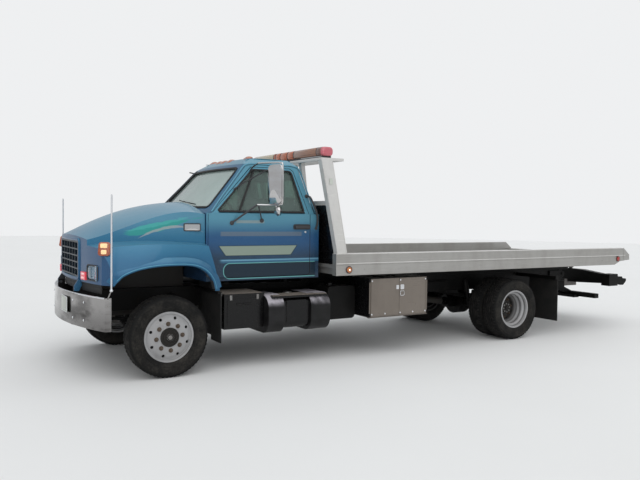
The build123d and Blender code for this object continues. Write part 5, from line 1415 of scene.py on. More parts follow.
@dataclass
class CabTrim:
    """Gaskets, gutters, wipers, roof lamps, handles and mirrors of the cab."""

    belt_z: float = 1.69
    belt_y: float = 0.935
    side_slope: float = 0.354

    def screen_x(self, y: np.ndarray, z: np.ndarray) -> np.ndarray:
        """Return the bowed windshield's place: mid + R - sqrt(R^2 - y^2), all changing with height."""
        t = (np.asarray(z) - self.belt_z) / 0.565
        middle, corner, reach = 0.37 + 0.56 * t, 0.48 + 0.505 * t, 0.85 - 0.17 * t
        sag = corner - middle
        radius = (reach ** 2 + sag ** 2) / (2 * sag)
        return middle + radius - np.sqrt(radius ** 2 - np.asarray(y) ** 2)

    def side_y(self, z: np.ndarray) -> np.ndarray:
        """Return the cab's half width over the belt."""
        return self.belt_y - self.side_slope * (np.asarray(z) - self.belt_z)

    def gaskets(self) -> None:
        """Make the rubber round the windshield, the rear window and the door windows."""
        corners = [(-0.8, 1.752), (-0.668, 2.205), (0.668, 2.205), (0.8, 1.752)]
        front = resampled(softened(corners, 0.05), 0.02)
        path = np.column_stack((self.screen_x(*front.T) - 0.002, front))
        screen = swept(path, (0.03, 0.014, 0.005), (-1, 0, 0.9), True)
        rear = resampled(softened([(-0.56, 1.8), (-0.54, 2.11), (0.54, 2.11), (0.56, 1.8)], 0.05), 0.03)
        lean = 1.84 - 0.239 * (rear[:, 1] - self.belt_z)
        back = swept(np.column_stack((lean + 0.002, rear)), (0.026, 0.014, 0.005), (1, 0, 0.2), True)
        Piece("cab_window_gaskets", "chassis", "black_rubber").add(Palette.seal, screen, back).make(50)
        edge = resampled(softened([(0.585, 1.712), (1.07, 2.188), (1.545, 2.188), (1.57, 2.17),
                                   (1.658, 1.712)], 0.018), 0.02)
        path = placed(edge, Plane.XZ, -self.side_y(edge[:, 1]) - 0.001)
        seal = swept(path, (0.02, 0.014, 0.005), (0, -1, 0.3), True)
        bar_z = np.linspace(1.722, 2.18, 12)
        bar_x = np.interp(bar_z, (1.722, 2.18), (0.852, 1.092))
        divider = swept(np.column_stack((bar_x, -self.side_y(bar_z) + 0.012, bar_z)),
                        (0.022, 0.014, 0.004), (0, -1, 0.3))
        wipe = swept([(0.6, -0.938, 1.706), (1.13, -0.939, 1.706), (1.66, -0.938, 1.706)],
                     (0.016, 0.012, 0.004), OUT)
        for side, name in SIDE_NAMES:
            piece = Piece(f"door_seals_{name}", f"door_{name}", "black_rubber", side)
            piece.add(Palette.seal, seal, divider, wipe).make(50)

    def gutters(self) -> None:
        """Make the drip rails round the door openings and the roof's seams."""
        z = np.array((1.705, 1.85, 2.05, 2.222, 2.252, 2.256, 2.256, 2.252, 2.2, 1.95, 1.7))
        x = np.array((0.512, 0.633, 0.812, 0.965, 1.045, 1.15, 1.45, 1.6, 1.688, 1.744, 1.808))
        path = smooth_path(np.column_stack((x, -self.side_y(z) - 0.004, z)), 5)
        rail = swept(path, (0.016, 0.01, 0.003), (0, -1, 0.4))
        band = smooth_path([(1.05, -0.6, 2.318), (1.2, -0.612, 2.327), (1.45, -0.612, 2.327),
                            (1.64, -0.6, 2.318)], 6)
        seam = swept(band, (0.01, 0.006, 0.002), UP)
        Piece("cab_gutters", "chassis", "blue_paint").pair(Palette.cab_paint, rail, seam).make(50)

    def wipers(self) -> None:
        """Make the two wipers low on the windshield: pivots, bent arms and blades."""
        shapes = []
        for pivot, tip, tail in ((-0.46, 0.06, -0.5), (0.16, 0.66, 0.12)):
            foot = np.array((float(self.screen_x(pivot, 1.742)) - 0.016, pivot, 1.742))
            hub = turned([(0.001, -0.012), (0.016, -0.012), (0.016, 0.008), (0.01, 0.016), (0.001, 0.017)],
                         foot, (-0.7, 0, 0.7), 14)
            y = np.linspace(pivot, (tip + tail) / 2 + 0.05, 7)
            z = np.interp(y, (y[0], y[-1]), (1.748, 1.806))
            arm = tube(np.column_stack((self.screen_x(y, z) - 0.026, y, z)), 0.006, 6)
            y = np.linspace(tail, tip, 14)
            z = np.interp(y, (tail, tip), (1.788, 1.838))
            lie = np.column_stack((self.screen_x(y, z) - 0.011, y, z))
            blade = swept(lie, (0.008, 0.016, 0.003), (-0.8, 0, 0.6))
            clasp = swept(lie[3:11] + np.array((-0.012, 0, 0.003)), (0.01, 0.008, 0.003), (-0.8, 0, 0.6))
            shapes += [hub, arm, blade, clasp]
        Piece("wipers", "chassis", "black_plastic").add(Palette.plastic, *shapes).make()

    def roof_lamps(self) -> None:
        """Make the five amber lamps on the roof's front edge, each on its dark foot."""
        piece = Piece("roof_lamps", "chassis", "amber_plastic")
        for y in (-0.52, -0.17, 0.0, 0.17, 0.52):
            back = 0.5 * y * y / 2.0
            foot = domed(rectangle((1.0 + back, y - 0.062), (1.112 + back, y + 0.062), 0.03, 4), Plane.XY,
                         2.262, 0.038, 0.002, self.roof_slope)
            lens = domed(rectangle((1.006 + back, y - 0.056), (1.104 + back, y + 0.056), 0.028, 4), Plane.XY,
                         2.3, 0.014, 0.024, self.roof_slope)
            piece.add(Palette.plastic, foot).add(Palette.roof_lens, lens)
        piece.make()

    @staticmethod
    def roof_slope(x: np.ndarray, _: np.ndarray) -> np.ndarray:
        """Return the rise of the roof's front edge from station 1.0 to 1.11."""
        return 0.3 * (np.asarray(x) - 1.06)

    def handles(self) -> None:
        """Make the grab rails behind the doors, and the handles, locks and mouldings on them."""
        grab = tube(smooth_path([(1.722, -0.888, 1.9), (1.738, -0.945, 1.874), (1.806, -0.972, 1.7),
                                 (1.812, -0.975, 1.59), (1.803, -0.958, 1.532)], 6), 0.012, 10)
        feet = [turned([(0.001, 0), (0.022, 0), (0.022, 0.006), (0.012, 0.01), (0.001, 0.011)], centre,
                       (0, -1, 0.1), 14) for centre in ((1.722, -0.866, 1.902), (1.803, -0.953, 1.53))]
        Piece("grab_rails", "chassis", "black_plastic").pair(Palette.plastic, grab, *feet).make()
        recess = domed(rectangle((1.5, 1.514), (1.722, 1.574), 0.02, 4), Plane.XZ, -0.958, -0.004, 0.0)
        grip = domed(rectangle((1.512, 1.526), (1.708, 1.56), 0.012, 4), Plane.XZ, -0.984, -0.014, -0.002)
        lock = turned([(0.001, 0), (0.012, 0), (0.012, 0.005), (0.008, 0.008), (0.001, 0.008)],
                      (1.66, -0.96, 1.485), OUT, 16)
        moulding = swept([(0.6, -0.962, 1.178), (1.15, -0.962, 1.17), (1.712, -0.962, 1.152)],
                         (0.03, 0.006, 0.002), OUT)
        for side, name in SIDE_NAMES:
            piece = Piece(f"door_handle_{name}", f"door_{name}", "black_plastic", side)
            piece.add(Palette.plastic, recess, grip).add(Palette.cab_paint, moulding)
            piece.add(Palette.bright, lock).make()

    def mirrors(self) -> None:
        """Make each mirror in its bright loop, the round one under it and the black arms to the door."""
        centre, lean = Vector((1.112, -1.25, 2.005)), math.radians(22)
        set_up = Matrix.Translation(centre) @ Matrix.Rotation(lean, 4, "Z")
        outline = rectangle((-0.09, -0.21), (0.09, 0.21), 0.045, 6)
        shell = [domed(outline * scale, Plane.YZ, x, depth, rise) for scale, x, depth, rise in
                 ((1.0, 0.012, -0.026, -0.02), (0.965, 0.012, 0.006, 0.0015))]
        edge = resampled(outline, 0.02)
        rim = swept(placed(edge, Plane.YZ, 0.012), (0.014, 0.01, 0.004), BACK, True)
        back, face, rim = (shape.moved(set_up) for shape in (*shell, rim))
        loop = tube(smooth_path([(1.0, -1.06, 2.238), (1.08, -1.19, 2.24), (1.148, -1.3, 2.236),
                                 (1.163, -1.326, 2.205), (1.163, -1.326, 2.0), (1.163, -1.326, 1.82),
                                 (1.148, -1.3, 1.788), (1.075, -1.182, 1.784), (0.975, -1.1, 1.786)], 6),
                    0.0095, 10)
        small = turned([(0.001, 0.002), (0.034, 0.0015), (0.052, -0.002), (0.056, -0.006), (0.001, -0.006)],
                       (1.176, -1.252, 1.722), BACK, 28)
        bowl = turned([(0.001, -0.03), (0.03, -0.026), (0.048, -0.012), (0.058, 0.002), (0.05, 0.004),
                       (0.001, 0.004)], (1.144, -1.252, 1.722), BACK, 28)
        stem = tube([(1.15, -1.252, 1.722), (1.12, -1.252, 1.784)], 0.008, 8)
        arms = [tube([(0.975, -1.1, 1.786), (0.856, -1.032, 1.686), (0.738, -0.964, 1.586)], 0.011, 8),
                tube([(0.985, -1.105, 1.786), (1.045, -1.03, 1.7), (1.098, -0.964, 1.615)], 0.007, 8),
                tube([(1.056, -1.15, 2.16), (0.92, -1.0, 2.058), (0.8, -0.858, 1.955)], 0.007, 8),
                tube([(1.0, -1.06, 2.238), (1.02, -0.9, 2.215), (1.042, -0.768, 2.18)], 0.008, 8)]
        feet = [turned([(0.001, 0), (0.024, 0), (0.024, 0.008), (0.012, 0.014), (0.001, 0.014)], spot,
                       OUT, 18) for spot in ((0.738, -0.959, 1.584), (1.098, -0.959, 1.614))]
        for side, name in SIDE_NAMES:
            piece = Piece(f"mirror_set_{name}", f"door_{name}", "chrome", side)
            piece.add(Palette.chrome, back, rim, loop, bowl, stem).add(Palette.mirror, face, small)
            piece.add(Palette.plastic, *arms, *feet)
            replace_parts(piece.make(40), f"mirror_{name}")

    def make(self) -> None:
        """Make all the cab's outside trim."""
        self.gaskets()
        self.gutters()
        self.wipers()
        self.roof_lamps()
        self.handles()
        self.mirrors()


@dataclass
class Interior:
    """Dashboard pod, dials, vents and knobs, pedals, mat and sun visors."""

    def make(self) -> None:
        """Make what shows through the glass, apart from the seats."""
        pod = block((0.56, -0.66, 1.655), (0.735, -0.2, 1.725), 0.02, 3)
        dials = [turned([(0.001, 0.004), (0.036, 0.004), (0.04, 0.01), (0.044, 0.01), (0.044, 0.0),
                         (0.001, 0.0)], (0.757, y, 1.64), (0.87, 0, 0.49), 20) for y in (-0.55, -0.43, -0.31)]
        vents = [block((0.735, y - 0.07, 1.575 + z), (0.752, y + 0.07, 1.581 + z), 0.001)
                 for y in (-0.08, 0.55) for z in np.arange(0.0, 0.045, 0.011)]
        knobs = [turned([(0.001, 0.0), (0.013, 0.0), (0.013, 0.012), (0.001, 0.013)], (0.72, y, 1.52),
                        BACK, 12) for y in (0.02, 0.08, 0.14, 0.2, 0.26)]
        visors = [block((1.035, low, 2.175), (1.06, low + 0.46, 2.2), 0.01) for low in (-0.58, 0.12)]
        mat = block((0.56, -0.88, 1.001), (1.05, 0.88, 1.01), 0.003)
        pedals = [block((0.7, y - 0.035, 1.06), (0.715, y + 0.035, 1.16), 0.006)
                  for y in (-0.52, -0.38, -0.26)]
        stalks = [tube([(0.7, y, 1.11), (0.62, y, 1.15), (0.56, y, 1.28)], 0.008, 8)
                  for y in (-0.52, -0.38, -0.26)]
        piece = Piece("dash_fittings", "chassis", "black_plastic")
        piece.add(Palette.trim, pod, *visors).add(Palette.plastic, *dials, *vents, *knobs)
        piece.add(Palette.mat, mat).add(Palette.steel, *pedals, *stalks).make()


@dataclass
class Seats:
    """Vinyl seats: crowned cushions and backs, piped and channelled, in place of the plain blocks."""

    voxel: float = 0.008
    pressure: float = 3.0
    cap: float = 0.012
    frames: int = 20

    def cushion(self, size: tuple[float, float, float], channels: int) -> Shape:
        """Return a crowned pad: a rounded box whose top swells by cos and dips along sewn channels.

        Args:
            size: Its length, width and thickness.
            channels: Number of sewn channels across its width.

        Returns:
            The pad, its middle at the origin and its underside flat.
        """
        length, width, thick = size
        u, v = np.meshgrid(np.linspace(-1, 1, 33), np.linspace(-1, 1, 16 * channels + 1), indexing="ij")
        pull = 1 - 0.02 * (u ** 2 + v ** 2)
        edge = np.clip(1 - np.maximum(np.abs(u), np.abs(v)) ** 8, 0, 1) ** 0.5
        crown = 0.03 * np.cos(u * math.pi / 2.2) * np.cos(v * math.pi / 2.2)
        seam = np.abs((((v + 1) / 2 * channels) + 0.5) % 1.0 - 0.5)
        inside = (np.abs(v) < 0.97) & (np.abs(u) < 0.86)
        dip = 0.01 * np.exp(-(seam / 0.05) ** 2) * inside
        top = thick * (0.4 + 0.6 * edge) - 0.01 + (crown - dip) * edge
        upper = np.stack((u * pull * length / 2, v * pull * width / 2, top), axis=2)
        lower = np.stack((u * pull * length / 2, v * pull * width / 2, thick * 0.06 * (1 - edge)), axis=2)
        rows, columns = u.shape
        top_part = lofted(upper, capped=False, around=False)
        low_part = lofted(lower, capped=False, around=False)
        border = np.concatenate((np.arange(columns), np.arange(1, rows) * columns + columns - 1,
                                 (rows - 1) * columns + np.arange(columns - 2, -1, -1),
                                 np.arange(rows - 2, 0, -1) * columns))
        following = np.roll(border, -1)
        count = rows * columns
        walls = np.stack((border, following, following + count, border + count), axis=1)
        whole = together([top_part, low_part])
        return Shape(whole.points, np.concatenate((whole.quads, walls)), whole.caps)

    def swollen(self, made: bpy.types.Object) -> None:
        """Puff a pad up with cloth under pressure, and keep each point near where it was.

        Args:
            made: The pad, changed in place.
        """
        scene = bpy.context.scene
        grid = made.modifiers.new("grid", "REMESH")
        grid.mode, grid.voxel_size = "VOXEL", self.voxel
        self.settle(made)
        start = np.empty(len(made.data.vertices) * 3)
        made.data.vertices.foreach_get("co", start)
        cloth = made.modifiers.new("cloth", "CLOTH")
        cloth.settings.use_pressure, cloth.settings.uniform_pressure_force = True, self.pressure
        cloth.settings.effector_weights.gravity = 0.0
        cloth.settings.quality = 3
        for number in range(1, self.frames + 1):
            scene.frame_set(number)
        self.settle(made)
        end = np.empty_like(start)
        made.data.vertices.foreach_get("co", end)
        shift = (end - start).reshape(-1, 3)
        far = np.linalg.norm(shift, axis=1, keepdims=True)
        shift *= np.minimum(1.0, self.cap / np.maximum(far, SMALLEST))
        made.data.vertices.foreach_set("co", (start.reshape(-1, 3) + shift).ravel())
        scene.frame_set(1)

    @staticmethod
    def settle(made: bpy.types.Object) -> None:
        """Apply a piece's modifiers to its mesh, keeping its materials."""
        graph = bpy.context.evaluated_depsgraph_get()
        mesh = bpy.data.meshes.new_from_object(made.evaluated_get(graph))
        made.modifiers.clear()
        for material in made.data.materials:
            if material.name not in [kept.name for kept in mesh.materials if kept]:
                mesh.materials.append(material)
        made.data = mesh

    def make(self) -> None:
        """Make both seats' cushions and backs, their bases and the belt buckles' stems."""
        names = []
        for label, low, high, channels in (("driver", -0.8, -0.28, 4), ("bench", -0.2, 0.8, 8)):
            middle, width = (low + high) / 2, high - low
            seat = self.cushion((0.53, width - 0.01, 0.15), channels).shifted(1.33, middle, 1.262)
            back_low, back_high = max(low, -0.74), min(high, 0.74)
            back_width = back_high - back_low
            lean = Matrix.Translation((1.56, (back_low + back_high) / 2, 1.66)) @ Matrix.Rotation(
                math.radians(-82), 4, "Y") @ Matrix.Translation((0.0, 0.0, -0.06))
            back = self.cushion((0.5, back_width - 0.01, 0.12), channels).moved(lean)
            for part, shape in (("cushion", seat), ("back", back)):
                name = f"{label}_seat_{part}"
                made = Piece(name, "chassis", "seat_vinyl").add(Palette.vinyl, shape).make(60)
                self.swollen(made)
                made.data.polygons.foreach_set("use_smooth", [True] * len(made.data.polygons))
                names.append(made)
        bases = [block((1.11, low + 0.05, 1.005), (1.55, high - 0.05, 1.255), 0.012)
                 for low, high in ((-0.8, -0.28), (-0.2, 0.8))]
        sockets = [tube([(1.545, y, 1.27), (1.535, y, 1.36), (1.53, y, 1.44)], 0.012, 8)
                   for y in (-0.3, -0.17, 0.3)]
        base = Piece("seat_bases", "chassis", "black_plastic")
        base.add(Palette.plastic, *bases, *sockets).make()
        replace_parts(names[0], "seats")


# Deck


@dataclass
class Deck:
    """Ribs, rivets, cups, lamps and edge mouldings of the sliding deck, and its headboard's fittings."""

    front_x: float = 1.905
    rear_x: float = 7.15
    side_y: float = -1.25
    floor_z: float = 1.1

    def floor(self) -> None:
        """Make the extruded ribs of the floor, its seams' rivets and the tie-down rings' cups."""
        ribs = [swept([(2.455, y, self.floor_z + 0.001), (self.rear_x - 0.01, y, self.floor_z + 0.001)],
                      (0.018, 0.008, 0.003, 2)) for y in np.arange(-1.125, 1.13, 0.075)]
        spots = [(x, y, self.floor_z + 0.001) for x in np.arange(2.54, 7.1, 0.62)
                 for y in (-1.09, -0.79, 0.79, 1.09)]
        cups = [turned([(0.001, 0.002), (0.03, 0.002), (0.034, 0.006), (0.048, 0.006), (0.052, 0.0),
                        (0.001, 0.0)], (x, y, self.floor_z + 0.001), UP, 20)
                for x in (2.75, 4.1, 5.45, 6.8) for y in (-0.95, 0.95)]
        piece = Piece("deck_floor_ribs", "deck", "aluminium")
        piece.add(Palette.aluminium, *ribs).add(Palette.steel, rivets(spots, UP, 0.01), *cups).make()

    def rails(self) -> None:
        """Make the rails' top caps with their slopes at the tail, side mouldings, rivets and weld; the top
        caps and the seam strip take the paler post metal as a painted highlight.
        """
        top = swept([(self.front_x + 0.002, -1.21, 1.238), (4.5, -1.21, 1.238), (7.148, -1.21, 1.238)],
                    (0.082, 0.01, 0.004))
        drop = swept([(7.148, -1.21, 1.238), (7.288, -1.21, 1.131)], (0.082, 0.008, 0.003))
        low = swept([(self.front_x + 0.002, -1.2505, 1.012), (4.5, -1.2505, 1.012), (6.955, -1.2505, 1.012)],
                    (0.004, 0.03, 0.0015), UP)
        seam = swept([(self.front_x + 0.002, -1.2505, 1.128), (4.5, -1.2505, 1.128), (7.19, -1.2505, 1.128)],
                     (0.004, 0.01, 0.001), UP)
        heads = rivets([(x, -1.251, 1.06) for x in np.arange(2.3, 6.9, 0.62)], OUT, 0.007)
        weld = tube([(7.15, -1.2505, 1.236), (7.15, -1.2515, 1.12), (7.15, -1.2505, 1.045)], 0.004, 6)
        piece = Piece("deck_rail_mouldings", "deck", "aluminium")
        # Paler post metal on the top caps and seam strip: painted highlight along the top edge and above the
        # groove
        piece.pair(Palette.rail, drop, low, heads, weld).pair(Palette.post_metal, top, seam).make()

    def lamps(self) -> None:
        """Make the amber and red marker lamps on the rails and the lamp groups on the tail."""
        piece = Piece("deck_lamps", "deck", "amber_plastic")
        for x, z, finish in ((2.08, 1.055, Palette.amber), (7.01, 1.078, Palette.red)):
            centre = (x, self.side_y, z)
            collar = turned([(0.001, 0), (0.044, 0), (0.044, 0.008), (0.034, 0.012), (0.03, 0.01),
                             (0.001, 0.01)], centre, OUT, 28)
            lens = turned([(0.031, 0.008), (0.03, 0.012), (0.022, 0.016), (0.01, 0.018), (0.001, 0.0185)],
                          centre, OUT, 28)
            piece.pair(Palette.brown_collar, collar).pair(finish, lens)
            if finish is Palette.amber:
                glow = turned([(0.001, 0.0187), (0.011, 0.0187), (0.009, 0.0205), (0.001, 0.021)],
                              centre, OUT, 16)
                piece.pair(Palette.bulb, glow)
        for y in (-1.09, -0.97, -0.85, 0.85, 0.97, 1.09):
            centre = (7.29, y, 1.093)
            piece.add(Palette.plastic, turned([(0.001, 0), (0.028, 0), (0.028, 0.006), (0.022, 0.008),
                                               (0.001, 0.008)], centre, BACK, 24))
            piece.add(Palette.red, turned([(0.023, 0.006), (0.02, 0.012), (0.01, 0.015), (0.001, 0.0155)],
                                          centre, BACK, 24))
        piece.make()

    def headboard(self) -> None:
        """Make the headboard's skins, rungs, posts' edges and feet, shelf edge and blank plates."""
        skin = [plate([(foot, 1.112), (foot + 0.003, 1.112), (foot - 0.056, 1.798), (foot - 0.059, 1.798)],
                      Plane.XZ, -1.164, 1.164, 0.0005) for foot in (1.9315, 1.9655)]
        posts = [tube([(x + slope * t, -1.2485 + 0.1095 * t, 1.245 + 1.06 * t) for t in np.linspace(0, 1, 9)],
                      0.0045, 6) for x, slope in ((1.921, -0.152), (2.049, -0.142))]
        foot = resampled(rectangle((1.918, -1.249), (2.052, -1.171), 0.006), 0.02)
        bead = tube(placed(foot, Plane.XY, 1.241), 0.005, 6)
        tag = domed(rectangle((1.852, 2.035), (1.893, 2.105), 0.006, 2), Plane.XZ, -1.166, -0.004, 0.0,
                    lambda x, z: 0.1034 * (np.asarray(z) - 2.07))
        shelf = swept([(1.762, -1.136, 2.325), (1.762, 0.0, 2.325), (1.762, 1.136, 2.325)],
                      (0.034, 0.008, 0.003), AHEAD)
        rungs = []
        for z in np.arange(1.2, 1.78, 0.07):
            x = 1.946 - 0.0866 * (z - 1.112)
            rungs.append(tube([(x, -1.13, z), (x, 1.13, z)], 0.01, 8))
        piece = Piece("headboard_fittings", "deck", "aluminium").add(Palette.box_black, *skin)
        piece.pair(Palette.post_metal, *posts).add(Palette.post_metal, shelf).pair(Palette.post_metal, bead)
        piece.pair(Palette.blank_plate, tag).add(Palette.box_black, *rungs).make()

    def make(self) -> None:
        """Make all of the deck's pieces."""
        self.floor()
        self.rails()
        self.lamps()
        self.headboard()


@dataclass
class LightBar:
    """Beacon bar in coloured sections with dark bands, on a dark base and bright feet."""

    middle_x: float = 1.962
    low_z: float = 2.377
    high_z: float = 2.492
    depth: float = 0.156

    def section(self, start: float, end: float, swell: float = 1.0) -> Shape:
        """Return a length of the bar: its rounded section scaled at four stations along Y."""
        outline = rounded(self.depth * swell, (self.high_z - self.low_z) * min(swell, 1.012), 0.045, 6)
        middle = np.array((self.middle_x, (self.low_z + self.high_z) / 2))
        rings = []
        for y, scale in ((start, 0.965), (start + 0.006, 1.0), (end - 0.006, 1.0), (end, 0.965)):
            flat = outline * scale + middle
            rings.append(placed(flat, Plane.XZ, y))
        return lofted(np.array(rings))

    def make(self) -> None:
        """Make the sections from the right-hand end to the left, with bands, base and feet."""
        piece = Piece("beacon_bar", "deck", "amber_plastic")
        for start, end, finish in (
                (0.316, 0.9, Palette.cream), (0.271, 0.308, Palette.orange), (0.132, 0.254, Palette.orange),
                (-0.058, 0.118, Palette.orange), (-0.222, -0.074, Palette.orange),
                (-0.795, -0.238, Palette.brown), (-0.905, -0.8, Palette.dark_dome)):
            piece.add(finish, self.section(start, end))
        for y in (0.312, 0.263, 0.125, -0.066, -0.23, -0.798):
            piece.add(Palette.plastic, self.section(y - 0.009, y + 0.009, 1.012))
        for side in (LEFT, RIGHT):
            rings = []
            for out, scale in ((0.898, 0.985), (0.925, 0.97), (0.94, 0.9), (0.947, 0.75), (0.949, 0.4)):
                flat = rounded(self.depth, self.high_z - self.low_z, 0.045, 6) * scale
                flat += np.array((self.middle_x, (self.low_z + self.high_z) / 2))
                rings.append(placed(flat, Plane.XZ, side * out))
            piece.add(Palette.pink, lofted(np.array(rings)))
        base = block((self.middle_x - 0.066, -0.92, 2.362), (self.middle_x + 0.066, 0.92, 2.386), 0.006)
        strip = block((self.middle_x - 0.074, -0.91, 2.372), (self.middle_x - 0.064, -0.42, 2.381), 0.002)
        feet = [block((self.middle_x - 0.04, y - 0.04, 2.34), (self.middle_x + 0.04, y + 0.04, 2.364), 0.004)
                for y in (-0.7, 0.7)]
        piece.add(Palette.plastic, base).add(Palette.chrome, strip).add(Palette.bright, *feet)
        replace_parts(piece.make(30), "light_bar")


@dataclass
class Winch:
    """The drum's wound rope, and the winch's caps and bolts."""

    x: float = 2.24
    z: float = 1.235

    def make(self) -> None:
        """Make the turns as a ribbed sleeve, r = 0.0745 + 0.005 |sin|, 10 mm more in a second layer."""
        turns, pitch = 37, 0.012
        y = np.linspace(-0.222, 0.222, turns * 6 + 1)
        radius = 0.0745 + 0.005 * np.abs(np.sin(y / pitch * math.pi)) + 0.01 * (np.abs(y) < 0.16)
        profile = np.stack((np.concatenate(([0.0715], radius, [0.0715])),
                            np.concatenate(([y[0]], y, [y[-1]]))), axis=1)
        rope = turned(profile, (self.x, 0, self.z), (0, 1, 0), 48, looped=True)
        Piece("winch_rope", "winch_drum", "steel").add(Palette.rope, rope).make(80)
        ends = [turned([(0.001, 0), (0.07, 0), (0.074, -0.004), (0.074, -0.012), (0.001, -0.012)],
                       (self.x, y, self.z), (0, side, 0), 28) for y, side in ((0.4705, 1), (-0.4005, -1))]
        spots = [(self.x + 0.058 * math.cos(a), 0.471, self.z + 0.058 * math.sin(a))
                 for a in np.arange(6) * math.pi / 3]
        heads = bolts(spots, (0, 1, 0), 0.008, 0.007)
        piece = Piece("winch_caps", "deck", "black_paint").add(Palette.chassis, *ends)
        piece.add(Palette.steel, heads).make()


# Under the deck


@dataclass
class Toolboxes:
    """Latches, rivets, edge folds and sills of the toolboxes."""

    front_x: float = 2.41
    rear_x: float = 3.3
    face_y: float = -1.2

    def make(self) -> None:
        """Make the fittings of each leaf and the sill of each box."""
        face = self.face_y
        for side, name in SIDE_NAMES:
            for leaf, low, high in (("front", 2.432, 2.853), ("rear", 2.857, 3.278)):
                along = (low + 0.015, (low + high) / 2, high - 0.015)[:2 if leaf == "front" else 3]
                spots = [(x, face - 0.0005, z) for z in (0.505, 0.905) for x in along[::1 if z < 0.6 else 2]]
                folds = [block((low + 0.002, face - 0.0035, z), (high - 0.002, face + 0.001, z + 0.012),
                               0.0012) for z in (0.477, 0.917)]
                outer = low + 0.002 if leaf == "front" else high - 0.012
                folds.append(block((outer, face - 0.0035, 0.49), (outer + 0.01, face + 0.001, 0.917), 0.0012))
                if leaf == "rear":
                    loop = resampled(rectangle((2.868, 0.716), (2.926, 0.77), 0.01, 3), 0.01)
                    catch = [tube(placed(loop, Plane.XZ, face - 0.006), 0.004, 6),
                             domed(rectangle((2.87, 0.79), (2.924, 0.85), 0.01, 3), Plane.XZ,
                                   face, -0.006, -0.003),
                             turned([(0.001, 0.008), (0.01, 0.008), (0.012, 0.014), (0.001, 0.015)],
                                    (2.897, face, 0.82), OUT, 16)]
                else:
                    catch = [domed(rectangle((2.806, 0.795), (2.846, 0.845), 0.008, 3), Plane.XZ,
                                   face, -0.005, -0.002)]
                piece = Piece(f"toolbox_{leaf}_trim_{name}", f"toolbox_{leaf}_door_{name}",
                              "polished_aluminium", side)
                piece.add(Palette.plate_metal, *folds)
                piece.add(Palette.bright, rivets(spots, OUT, 0.011), *catch).make()
        sill = block((self.front_x, -1.196, 0.462), (self.rear_x, -1.15, 0.4695), 0.002)
        Piece("toolbox_sills", "chassis", "polished_aluminium").pair(Palette.plate_metal, sill).make()


